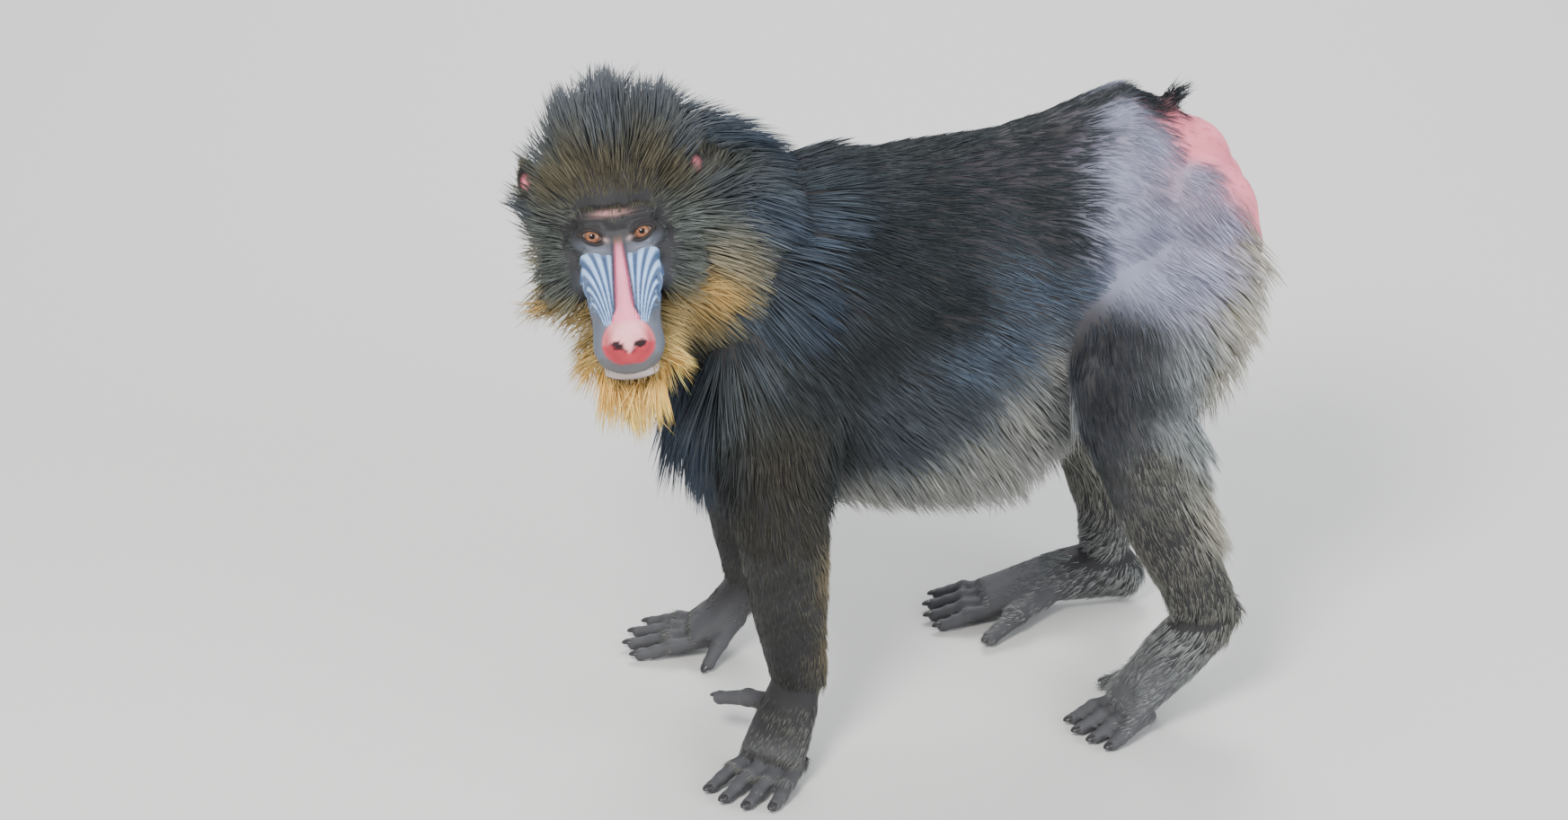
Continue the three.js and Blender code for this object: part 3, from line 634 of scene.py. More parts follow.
def shape_face(points, normals):
    """Ribs, lids, nostrils, the line of the mouth and the cups of the ears, moved in the skin."""
    side, along, above = snout_coordinates(points)
    hside, forward, up = head_coordinates(points)
    strength, across = ridge_fields(points)
    move = strength * (0.5 - 1.35 * np.cos(2 * math.pi * across))
    hollow = np.abs(side) - bridge_half(along) - HOLLOW_OUT
    move -= 1.8 * bump(hollow, 0, 1.8) * smooth(along, 6, 18) * (1 - smooth(along, 98, 112)) * (above > -14)
    lip = above - mouth_height(side)
    for out, height, half, start, full in LIP_FOLDS:
        move += out * bump(lip, height, half) * smooth(along, start, full)
    for fold in FOLDS_UNDER_EYE:
        crease = bump(up - EYE_SLANT * (np.abs(hside) - EYE_SPACING / 2), fold, 1.1)
        move -= 0.8 * crease * bump(np.abs(hside), EYE_SPACING / 2, 13) * (forward > -12)
    brow = up - BROW_LINE[0] - BROW_LINE[1] * np.abs(hside)
    move -= bump(brow, 0, 1.6) * (forward > -8) * (np.abs(hside) < 36)
    moved = points + normals * (move * HEAD_SCALE)[:, None]
    nose_across, nose_up = nose_place(points)
    front = smooth(along, 112, 122)
    for hand in (-1, 1):
        hole, slit = nostril(nose_across, nose_up, hand)
        moved -= np.outer((hole ** 0.5 * 9 + slit * 2.2) * front * HEAD_SCALE, gaze)
        rim = bump(nose_up, NOSTRIL_UP + 6, 2.4) * bump(nose_across * hand, NOSTRIL_ACROSS + 1, 7)
        moved += normals * (rim * front * 1.8)[:, None]
        shape_lids(moved, opening(hside, up, hand), forward, hand)
        axes = np.array(ear_axes(hand))
        local = (points - head_point(hand * EAR[0], EAR[1], EAR[2])) @ axes.T / HEAD_SCALE
        cup = np.clip(1 - (local[:, 1] / EAR_CUP[0]) ** 2 - (local[:, 2] / EAR_CUP[1]) ** 2, 0, 1)
        cupped = (local[:, 0] > 0) & (local[:, 0] < 12)
        moved -= np.outer(np.where(cupped, cup ** 0.6 * EAR_CUP_DEPTH, 0), axes[0])
    return moved


def shape_lids(moved, gap, forward, hand):
    """Sinks the skin behind the eyeball in the opening between the lids, and raises the lids' rims."""
    eye = head_point(hand * EYE_SPACING / 2, 0, 0)
    away = moved - eye
    reach = np.linalg.norm(away, axis=1)
    near = (reach < EYE_NEAR * HEAD_SCALE) & (forward > -2)
    inside = near & (gap > 0)
    target = (EYE_SURFACE - EYE_DEPTH * smooth(gap, 0.0, 1.0)) * HEAD_SCALE
    moved[inside] = eye + away[inside] / reach[inside, None] * target[inside, None]
    rim = near & (gap <= 0) & (gap > -4)
    lift = bump(gap, -1.3, 1.3) * 1.3 - bump(gap, -3.6, 0.9) * 0.9
    moved[rim] += (away[rim] / reach[rim, None]) * lift[rim, None]


def make_skin():
    """One closed skin for the whole animal, finer on the face and ears."""
    skin = joined(body_pieces() + head_pieces(), "skin")
    put_vertices(skin, place(vertices_of(skin)))
    skin.data.remesh_voxel_size = SKIN_VOXEL
    only(skin)
    bpy.ops.object.voxel_remesh()
    smoothed(skin, 5)
    loose = looseness(placed_points(skin))
    smoothed_where(skin, SOFTENING, [(loose > level - 0.12, level) for level in (0.25, 0.5, 0.75, 1.0)])
    unwrap(skin)
    for region in (face_region, muzzle_region):
        refine(skin, region(placed_points(skin)))
        smoothed_where(skin, 3, [(region(placed_points(skin)), 1.0)])
    points = placed_points(skin)
    face = face_region(points)
    points[face] = shape_face(points[face], normals_of(skin)[face])
    points[:, 2] = np.maximum(points[:, 2], FLOOR_GAP)
    put_vertices(skin, place(points))
    only(skin)
    bpy.ops.object.shade_smooth()
    return skin


def looseness(points):
    """1 on the trunk and the tops of the limbs, where bodies meet, and 0 on the head, hands and feet."""
    _, forward, _ = head_coordinates(points)
    return smooth(-forward, 95, 130) * smooth(points[:, 2], 190, 300)


def near_head(points, forward, up, reach):
    """Which points lie within reach of a place in the middle of the head."""
    return np.linalg.norm(points - head_point(0, forward, up), axis=1) < reach


def face_region(points):
    """The bare face, the snout and the ears."""
    hside, forward, up = head_coordinates(points)
    ears = (np.abs(hside) > 62) & (np.abs(up - EAR[2]) < 24) & (forward > -78) & (forward < -38)
    face = (forward > -36) & (np.abs(hside) < 58) & (up < 46)
    return near_head(points, -40, 0, 150) & (face | ears)


def muzzle_region(points):
    """The snout and the lids, whose forms are the smallest."""
    side, along, above = snout_coordinates(points)
    hside, forward, up = head_coordinates(points)
    muzzle = (along > 2) & (along < 160) & (np.abs(side) < 44) & (above > -76)
    lids = (forward > -8) & (np.abs(np.abs(hside) - EYE_SPACING / 2) < 18) & (np.abs(up) < 22)
    return face_region(points) & (muzzle | lids)


def unwrap(skin):
    only(skin)
    with editing():
        bpy.ops.uv.smart_project(angle_limit=math.radians(70), island_margin=0.002)
    skin.data.uv_layers[0].name = "OFBake"


# The coat's colours and guides

BLUE_BLACK = (0.05, 0.067, 0.096)
CREST = (0.08, 0.092, 0.108)
BROWN = (0.098, 0.086, 0.054)
CHEEK = (0.125, 0.14, 0.13)
RUFF = (0.3, 0.26, 0.18)
OCHRE = (0.7, 0.43, 0.14)
GOLD = (0.95, 0.58, 0.16)
SHOULDER = (0.034, 0.038, 0.041)
ARM = (0.056, 0.052, 0.042)
FOREARM = (0.08, 0.082, 0.072)
FOREARM_BACK = (0.25, 0.2, 0.12)
BACK = (0.024, 0.03, 0.033)
FLANK = (0.092, 0.12, 0.162)
BELLY = (0.07, 0.082, 0.1)
UNDERLINE = (0.34, 0.34, 0.315)
GROIN = (0.48, 0.48, 0.45)
LILAC = (0.4, 0.4, 0.545)
PALE_WISP = (0.45, 0.425, 0.345)
THIGH = (0.032, 0.036, 0.046)
THIGH_MID = (0.08, 0.088, 0.094)
THIGH_LOW = (0.32, 0.34, 0.345)
SHANK = (0.22, 0.218, 0.19)
FOOT = (0.3, 0.315, 0.31)
HAND = (0.21, 0.215, 0.195)
WHITISH = (0.56, 0.51, 0.5)
DARK = (0.022, 0.021, 0.022)
GREY = (0.15, 0.15, 0.16)
DIGITS = (0.075, 0.075, 0.080)
MAUVE = (0.23, 0.245, 0.33)
PINK = (1.0, 0.27, 0.34)
FACE_GREY = (0.13, 0.145, 0.18)

Guide = namedtuple("Guide", "at lie length lift hair skin share", defaults=(DARK, 1.0))

# Place, lie, length, lift, the hair's colour, the skin's under it and the hair's share, all mirrored too
BODY_GUIDES = [
    ((-150, 0, 590), (1, 0, 0), 44, 0.18, BACK),
    ((-60, 0, 585), (1, 0, 0), 28, 0.13, BACK),
    ((40, 0, 590), (1, 0, 0), 24, 0.12, BACK),
    ((110, 0, 612), (1, 0, -0.1), 22, 0.12, BACK),
    ((150, 0, 622), (1, 0, -0.2), 22, 0.14, BACK),
    ((-60, 90, 540), (1, 0.1, -0.25), 28, 0.14, BACK),
    ((40, 88, 550), (1, 0.1, -0.2), 25, 0.14, BACK),
    ((-60, 118, 460), (0.9, 0, -0.4), 30, 0.15, BACK),
    ((20, 114, 480), (0.9, 0, -0.4), 28, 0.15, FLANK),
    ((-40, 120, 410), (0.8, 0, -0.5), 34, 0.16, FLANK),
    ((-100, 122, 390), (0.75, 0, -0.62), 38, 0.18, BELLY),
    ((-44, 118, 366), (0.8, 0, -0.55), 38, 0.18, BELLY),
    ((-96, 112, 326), (0.7, 0, -0.6), 40, 0.2, BELLY),
    ((6, 116, 416), (0.85, 0, -0.5), 32, 0.18, FLANK),
    ((48, 112, 396), (0.8, 0.1, -0.6), 34, 0.22, UNDERLINE, GREY),
    ((14, 112, 352), (0.6, 0.1, -0.8), 46, 0.26, UNDERLINE, GREY),
    ((-24, 108, 316), (0.5, 0, -0.85), 56, 0.28, UNDERLINE, GREY),
    ((65, 112, 345), (0.7, 0.1, -0.7), 44, 0.26, GROIN, GREY),
    ((-66, 96, 284), (0.4, 0, -0.9), 60, 0.28, UNDERLINE, GREY),
    ((40, 104, 300), (0.5, 0, -0.85), 62, 0.3, GROIN, GREY),
    ((-132, 80, 270), (0.4, 0, -0.9), 58, 0.28, UNDERLINE, GREY),
    ((7, 82, 262), (0.4, 0, -0.9), 66, 0.3, GROIN, GREY),
    ((-110, 0, 240), (0.4, 0, -0.9), 58, 0.3, UNDERLINE, GREY),
    ((0, 0, 240), (0.4, 0, -0.9), 62, 0.3, GROIN, GREY),
    ((80, 0, 285), (0.5, 0, -0.8), 60, 0.3, GROIN, GREY),
    ((150, 0, 350), (0.7, 0, -0.5), 46, 0.3, GROIN, GREY),
    ((74, 30, 600), (1, 0.05, -0.1), 22, 0.12, BACK),
    ((64, 80, 562), (1, 0.1, -0.2), 24, 0.13, BACK),
    ((60, 103, 516), (0.9, 0.1, -0.3), 26, 0.14, BACK),
    ((62, 110, 470), (0.9, 0, -0.4), 28, 0.15, FLANK),
    ((128, 34, 612), (0.95, 0.15, -0.2), 18, 0.1, LILAC, MAUVE),
    ((116, 84, 570), (0.9, 0.2, -0.4), 18, 0.1, LILAC, MAUVE),
    ((114, 104, 522), (0.8, 0.1, -0.5), 19, 0.1, LILAC, MAUVE),
    ((116, 116, 484), (0.7, 0.1, -0.6), 20, 0.12, LILAC, MAUVE),
    ((157, 60, 588), (0.8, 0.3, -0.4), 21, 0.16, LILAC, MAUVE, 1.4),
    ((161, 108, 520), (0.7, 0.1, -0.6), 25, 0.24, LILAC, MAUVE, 1.4),
    ((150, 130, 474), (0.6, 0.1, -0.8), 28, 0.24, LILAC, MAUVE, 1.4),
    ((194, 80, 560), (0.7, 0.3, -0.6), 22, 0.22, LILAC, MAUVE, 1.6),
    ((210, 98, 516), (0.6, 0.2, -0.8), 30, 0.26, LILAC, MAUVE, 1.6),
    ((184, 122, 484), (0.5, 0.1, -0.9), 34, 0.28, LILAC, MAUVE, 1.5),
    ((196, 20, 588), (0.9, 0.0, -0.4), 12, 0.1, PINK, PINK, 0.03),
    ((204, 44, 570), (0.7, 0.4, -0.6), 10, 0.1, PINK, PINK, 0.02),
    ((228, 58, 535), (0.6, 0.4, -0.8), 10, 0.1, PINK, PINK, 0.02),
    ((226, 0, 572), (0.8, 0.0, -0.6), 10, 0.1, PINK, PINK, 0),
    ((248, 0, 530), (0.5, 0.0, -0.9), 8, 0.1, PINK, PINK, 0),
    ((262, 28, 494), (0.5, 0.4, -0.9), 6, 0.1, PINK, PINK, 0),
    ((250, 60, 500), (0.5, 0.4, -0.9), 12, 0.15, PALE_WISP, PINK, 0.15),
    ((244, 88, 486), (0.7, 0.3, -0.8), 44, 0.34, PALE_WISP, GREY),
    ((250, 0, 446), (0.6, 0, -0.9), 60, 0.36, PALE_WISP, GREY),
    ((236, 50, 430), (0.6, 0.1, -0.9), 64, 0.36, PALE_WISP, GREY),
    ((-262, 0, 350), (-0.3, 0, -1), 106, 0.4, BLUE_BLACK, DARK, 1.8),
    ((-290, 0, 420), (-0.3, 0, -1), 102, 0.4, BLUE_BLACK, DARK, 1.8),
    ((-220, 0, 262), (-0.2, 0, -1), 92, 0.34, BLUE_BLACK),
    ((-280, 70, 400), (-0.15, 0.3, -1), 98, 0.38, BLUE_BLACK, DARK, 1.8),
    ((184, 0, 608), (0.7, 0, 0.5), 26, 0.45, BACK, DARK, 1.6),
    ((190, 0, 598), (0.7, 0, 0.5), 20, 0.4, BACK, DARK, 1.6),
    ((166, 0, 590), (0.6, 0, 0.7), 18, 0.4, BACK),
]
# The mane on the neck and shoulders, and the limbs, here on the animal's left side
MANE_GUIDES = [
    ((-200, 0, 595), (1, 0, 0.05), 58, 0.2, BLUE_BLACK),
    ((-270, -10, 610), (1, 0, 0.15), 80, 0.32, BLUE_BLACK),
    ((-250, 70, 560), (0.9, 0.3, -0.2), 82, 0.26, BLUE_BLACK),
    ((-190, 84, 550), (1, 0.15, -0.3), 66, 0.2, BLUE_BLACK),
    ((-130, 96, 530), (1, 0.15, -0.3), 42, 0.16, BACK),
    ((-250, 90, 480), (0.7, 0.2, -0.7), 84, 0.26, BLUE_BLACK),
    ((-196, 112, 490), (0.8, 0.1, -0.6), 66, 0.2, BLUE_BLACK),
    ((-186, 124, 440), (0.5, 0.1, -0.9), 50, 0.18, SHOULDER),
    ((-130, 118, 440), (0.7, 0, -0.7), 40, 0.16, SHOULDER),
]
LIMB_GUIDES = [
    ((-212, 150, 350), (0.15, 0, -1), 38, 0.16, ARM),
    ((-262, 110, 340), (-0.1, 0, -1), 42, 0.2, SHOULDER),
    ((-165, 120, 330), (0.5, 0, -1), 44, 0.22, SHOULDER),
    ((-212, 155, 280), (0.15, 0, -1), 26, 0.12, ARM),
    ((-212, 152, 220), (0.15, 0.05, -1), 18, 0.1, FOREARM),
    ((-245, 120, 230), (-0.05, 0, -1), 17, 0.1, FOREARM),
    ((-170, 122, 220), (0.4, 0, -1), 26, 0.18, FOREARM_BACK),
    ((-205, 146, 150), (0.1, 0, -1), 15, 0.1, FOREARM),
    ((-168, 116, 140), (0.3, 0, -1), 20, 0.16, FOREARM_BACK),
    ((-222, 114, 130), (-0.05, 0, -1), 13, 0.1, FOREARM),
    ((-210, 124, 86), (-0.4, 0.3, -1), 16, 0.12, FOREARM, DARK, 1.2),
    ((-218, 138, 56), (-0.8, 0.6, -0.6), 15, 0.12, HAND, DARK, 1.3),
    ((-236, 156, 30), (-0.8, 0.6, -0.4), 12, 0.1, HAND, DIGITS, 1.3),
    ((-272, 190, 12), (-0.8, 0.6, -0.1), 4, 0.05, HAND, DIGITS, 0),
    ((-240, 72, 52), (-0.8, -0.6, -0.1), 6, 0.05, HAND, DIGITS, 0.25),
    ((-205, 80, 250), (0.1, 0, -1), 18, 0.12, SHOULDER),
    ((100, 134, 425), (0.2, 0, -1), 22, 0.12, THIGH),
    ((90, 140, 363), (0.2, 0, -1), 20, 0.12, THIGH),
    ((78, 112, 400), (0.1, 0, -1), 20, 0.12, THIGH),
    ((78, 118, 340), (0.2, 0, -1), 19, 0.12, THIGH),
    ((130, 146, 420), (0.3, 0, -1), 24, 0.13, THIGH_MID),
    ((130, 152, 366), (0.3, 0, -1), 24, 0.13, THIGH_MID),
    ((168, 144, 408), (0.4, 0, -1), 32, 0.18, THIGH_LOW, GREY),
    ((160, 146, 340), (0.35, 0, -1), 28, 0.18, THIGH_LOW, GREY),
    ((212, 118, 446), (0.7, 0.1, -0.9), 54, 0.34, PALE_WISP, GREY),
    ((208, 108, 390), (0.8, 0, -0.9), 74, 0.45, PALE_WISP, GREY),
    ((182, 116, 330), (0.8, 0, -0.9), 64, 0.42, THIGH_LOW),
    ((140, 154, 300), (0.3, 0, -1), 20, 0.12, SHANK),
    ((98, 118, 290), (0.3, 0, -1), 18, 0.12, THIGH_MID),
    ((150, 148, 220), (0.35, 0, -1), 16, 0.11, SHANK),
    ((200, 118, 240), (0.8, 0, -1), 46, 0.38, PALE_WISP),
    ((200, 142, 160), (0.3, 0, -1), 16, 0.12, SHANK),
    ((150, 76, 380), (0.3, -0.1, -1), 24, 0.16, GROIN, GREY),
    ((226, 112, 124), (-0.1, 0, -1), 18, 0.16, SHANK),
    ((180, 124, 88), (-0.9, 0.1, -0.5), 19, 0.14, FOOT, DARK, 1.3),
    ((156, 118, 56), (-1, 0.2, -0.5), 16, 0.12, FOOT, DIGITS, 1.3),
    ((132, 118, 34), (-1, 0.2, -0.3), 12, 0.1, FOOT, DIGITS, 1.3),
    ((96, 122, 12), (-1, 0.2, -0.1), 4, 0.05, FOOT, DIGITS, 0),
]
FAR_FOOT_GUIDES = [
    ((172, 140, 70), (-0.3, 0, -1), 16, 0.12, FOOT, DARK, 1.2),
    ((140, 128, 64), (-1, 0.1, -0.3), 15, 0.12, FOOT, DARK, 1.3),
    ((100, 130, 46), (-1, 0.1, -0.2), 13, 0.1, FOOT, DIGITS, 1.3),
    ((64, 130, 32), (-1, 0.1, -0.2), 10, 0.1, FOOT, DIGITS, 1.2),
    ((14, 134, 12), (-1, 0.1, -0.1), 4, 0.05, FOOT, DIGITS, 0),
    ((-252, 126, 26), (-1, 0.1, -0.1), 12, 0.1, HAND, DIGITS, 1.2),
    ((-300, 140, 12), (-1, 0.1, -0.1), 4, 0.05, HAND, DIGITS, 0),
]
# The head, written (side, along the gaze, towards the crown)
HEAD_GUIDES = [
    ((0, -66, 108), (0, -0.3, 1), 80, 0.85, CREST, DARK, 1.7),
    ((0, -36, 98), (0, -0.25, 1), 68, 0.75, CREST, DARK, 1.6),
    ((0, -14, 82), (0, -0.2, 1), 46, 0.5, CREST),
    ((0, 0, 62), (0, -0.1, 1), 27, 0.3, BROWN),
    ((0, 6, 44), (0, -0.05, 1), 15, 0.2, BROWN),
    ((0, 9, 31), (0, 0, 1), 9, 0.14, BROWN),
    ((24, 8, 30), (0.3, 0, 1), 9, 0.14, BROWN),
    ((0, -110, 96), (0, -0.6, 0.8), 76, 0.6, CREST, DARK, 1.4),
    ((36, -56, 96), (0.35, -0.3, 1), 68, 0.65, CREST, DARK, 1.6),
    ((34, -8, 62), (0.45, -0.2, 1), 30, 0.32, BROWN),
    ((28, 4, 42), (0.35, -0.05, 1), 15, 0.2, BROWN),
    ((50, -22, 46), (0.8, -0.3, 0.8), 32, 0.35, BROWN),
    ((60, -40, 66), (0.9, -0.3, 0.8), 54, 0.45, CREST),
    ((74, -60, 30), (1, -0.5, 0.3), 54, 0.4, CREST),
    ((46, -8, 18), (0.9, -0.3, 0.5), 13, 0.2, CHEEK),
    ((60, -26, 6), (1, -0.4, 0.1), 34, 0.32, CHEEK),
    ((37, 4, 0), (1, -0.4, 0.1), 4, 0.1, CHEEK, DARK, 0),
    ((46, -7, -4), (1, -0.4, 0), 13, 0.2, CHEEK),
    ((24, 12, 8), (0.3, 0, 1), 4, 0.1, CHEEK, DARK, 0),
    ((24, 10, -14), (0.5, 0, -0.6), 4, 0.1, CHEEK, GREY, 0),
    ((64, -30, -20), (0.95, -0.5, -0.2), 44, 0.34, CHEEK),
    ((54, -12, -34), (0.9, -0.5, -0.4), 28, 0.28, CHEEK),
    ((44, -2, -22), (0.9, -0.5, -0.3), 11, 0.18, CHEEK),
    ((76, -56, -24), (0.95, -0.6, -0.3), 60, 0.36, RUFF),
    ((70, -50, -50), (0.9, -0.6, -0.5), 62, 0.36, OCHRE),
    ((60, -40, -66), (0.7, -0.5, -0.7), 54, 0.34, OCHRE),
    ((44, 6, -80), (0.45, -0.2, -1), 46, 0.3, OCHRE),
    ((24, 6, -122), (0.25, 0.3, -1), 64, 0.5, GOLD, DARK, 2.6),
    ((38, 6, -108), (0.5, 0.2, -1), 56, 0.45, GOLD, DARK, 2.0),
    ((0, 12, -138), (0, 0.35, -1), 68, 0.5, GOLD, DARK, 2.6),
    ((0, -26, -124), (0, 0.2, -1), 66, 0.4, OCHRE, DARK, 2.0),
    ((84, -52, 60), (0.3, 0, 1), 3, 0.1, BROWN, DARK, 0),
    ((88, -62, 74), (0.3, 0, 1), 12, 0.2, BROWN, DARK, 0.9),
]
# The snout, written (side, along the bridge, above it): bare but for short hair on its flanks and chin
SNOUT_GUIDES = [
    ((0, 60, 10), (0, 1, 0), 3, 0.05, BROWN, DARK, 0),
    ((22, 60, 6), (0, 1, 0), 3, 0.05, BROWN, DARK, 0),
    ((30, 100, -6), (0, 1, 0), 3, 0.05, BROWN, FACE_GREY, 0),
    ((40, 36, -16), (0.5, -0.5, -0.6), 9, 0.14, CHEEK, FACE_GREY, 0.9),
    ((38, 62, -28), (0.4, -0.4, -0.8), 9, 0.14, CHEEK, FACE_GREY, 0.9),
    ((34, 92, -34), (0.3, -0.2, -0.8), 5, 0.1, CHEEK, FACE_GREY, 0.3),
    ((0, 140, 0), (0, 1, 0), 3, 0.05, BROWN, FACE_GREY, 0),
    ((0, 134, -40), (0, 0, -1), 3, 0.08, WHITISH, FACE_GREY, 0.06),
    ((0, 126, -58), (0, 0, -1), 4, 0.1, WHITISH, GREY, 0),
    ((30, 100, -64), (0.4, -0.1, -1), 30, 0.35, GOLD, GREY, 2.0),
    ((0, 116, -74), (0, 0.4, -1), 58, 0.5, GOLD, GREY, 2.6),
    ((28, 40, -80), (0.2, -0.1, -1), 50, 0.3, OCHRE),
]


def mirrored(guide, axis):
    """The guide on the other side of the middle, which is at zero on the given axis."""
    at, lie = ([-v if i == axis else v for i, v in enumerate(values)] for values in (guide.at, guide.lie))
    return guide._replace(at=at, lie=lie)


def both(rows, axis=1):
    """The guides, each that lies to a side followed by its mirror image."""
    found = []
    for guide in (Guide(*row) for row in rows):
        found.append(guide)
        if guide.at[axis] != 0:
            found.append(mirrored(guide, axis))
    return found


def on_head(rows, point, axes):
    """The same for guides that name their side first, set on the head or the snout."""
    return [
        guide._replace(at=point(*guide.at), lie=axes @ np.array([guide.lie[1], guide.lie[0], guide.lie[2]]))
        for guide in both(rows, axis=0)
    ]


FAR_LEG_MOVED = (-12, -20)
FAR_FOOT_TOP = 130


def on_limbs(rows):
    """The guides of both sides' limbs. The far leg stands a little forward, its foot has its own guides."""
    guides = [Guide(*row) for row in rows]
    found = [mirrored(guide, 1) for guide in guides]
    for guide in guides:
        x, y, z = guide.at
        if x < 0:
            found.append(guide)
        elif z > FAR_FOOT_TOP:
            found.append(guide._replace(at=(x + FAR_LEG_MOVED[0], y, z + FAR_LEG_MOVED[1])))
    return found + [Guide(*row) for row in FAR_FOOT_GUIDES]


GUIDE_SETS = {
    "coat_back": both(BODY_GUIDES),
    "coat_mane": both(MANE_GUIDES),
    "coat_limb": on_limbs(LIMB_GUIDES),
    "coat_head": on_head(HEAD_GUIDES, head_point, HEAD) + on_head(SNOUT_GUIDES, snout_point, HEAD @ SNOUT),
}
GUIDES = [guide for guides in GUIDE_SETS.values() for guide in guides]
GUIDE_PART = np.array([index for index, guides in enumerate(GUIDE_SETS.values()) for _ in guides])
GUIDE = {name: np.array([getattr(guide, name) for guide in GUIDES], float) for name in Guide._fields}
GUIDE["lie"] = np.array([lie / np.linalg.norm(lie) for lie in GUIDE["lie"]])
REACH = 12.0  # millimetres within which a guide's values hold unmixed
FALL_OFF = 4.6  # how fast a guide's hold fades with distance
AT_ONCE = 20000  # points whose distances are worked out together


def guide_weights(points):
    """How much each guide holds at each point. A point's weights add up to 1."""
    weights = np.empty((len(points), len(GUIDES)), np.float32)
    for start in range(0, len(points), AT_ONCE):
        away = np.linalg.norm(points[start:start + AT_ONCE, None, :] - GUIDE["at"][None], axis=2)
        weights[start:start + AT_ONCE] = 1 / (away + REACH) ** FALL_OFF
    return weights / weights.sum(1, keepdims=True)


def wave(points, scale, seed):
    """Smooth wandering values from -1 to 1."""
    draw = np.random.default_rng(seed)
    total = np.zeros(len(points))
    for _ in range(6):
        direction = draw.normal(size=3)
        direction *= 2 * math.pi / scale / np.linalg.norm(direction) * draw.uniform(0.6, 1.6)
        total += np.sin(points @ direction + draw.uniform(0, 6.3))
    return np.clip(total / 3, -1, 1)


# Colours of the skin: the guides' under colours, with the face's markings and painted shade over them

RIB_BLUE = (0.4, 0.6, 0.92)
# The ribs' blue darkened in the furrows between them: painted shade
RIB_FURROW_SHADE = (0.075, 0.12, 0.23)
BRIDGE_PINK = (1.0, 0.3, 0.43)
# The bridge's pink darkened towards its sides: painted shade on its rounded flanks
BRIDGE_SIDE_SHADE = (0.6, 0.11, 0.19)
BRIDGE_TAN = (0.17, 0.11, 0.085)
NOSE_PALE = (1.0, 0.42, 0.44)
NOSE_RED = (0.48, 0.045, 0.065)
# Near black in the nostrils, the slits below them and the line of the mouth: painted shade in these openings
OPENING_SHADE = (0.02, 0.008, 0.010)
# Dark in the hollow beside the bridge: painted shade
HOLLOW_SHADE = (0.045, 0.045, 0.065)
LIP_GREY = (0.12, 0.12, 0.13)
LIP_PALE = (0.58, 0.5, 0.51)
BROW_PINK = (0.52, 0.27, 0.25)
LID = (0.030, 0.024, 0.024)
LID_CORNER = (0.36, 0.27, 0.26)
LID_BLUE = (0.17, 0.19, 0.24)


def mix(base, colour, amount):
    """A colour, or each point's own, drawn by an amount towards another."""
    base = np.asarray(base)
    return base + (np.asarray(colour) - base) * amount[:, None]


def nose_front(across, up):
    """1 on the red round front of the nose, 0 around it."""
    height = np.where(up > NOSTRIL_UP, NOSE_ABOVE, NOSE_BELOW)
    reach = NOSE_HALF * np.sqrt(np.clip(1 - ((up - NOSTRIL_UP) / height) ** 2, 0, 1))
    inside = 1 - smooth(np.abs(across), reach - 1.5, reach + 1)
    return inside * smooth(up, -18, -15) * (1 - smooth(up, 20, 26))


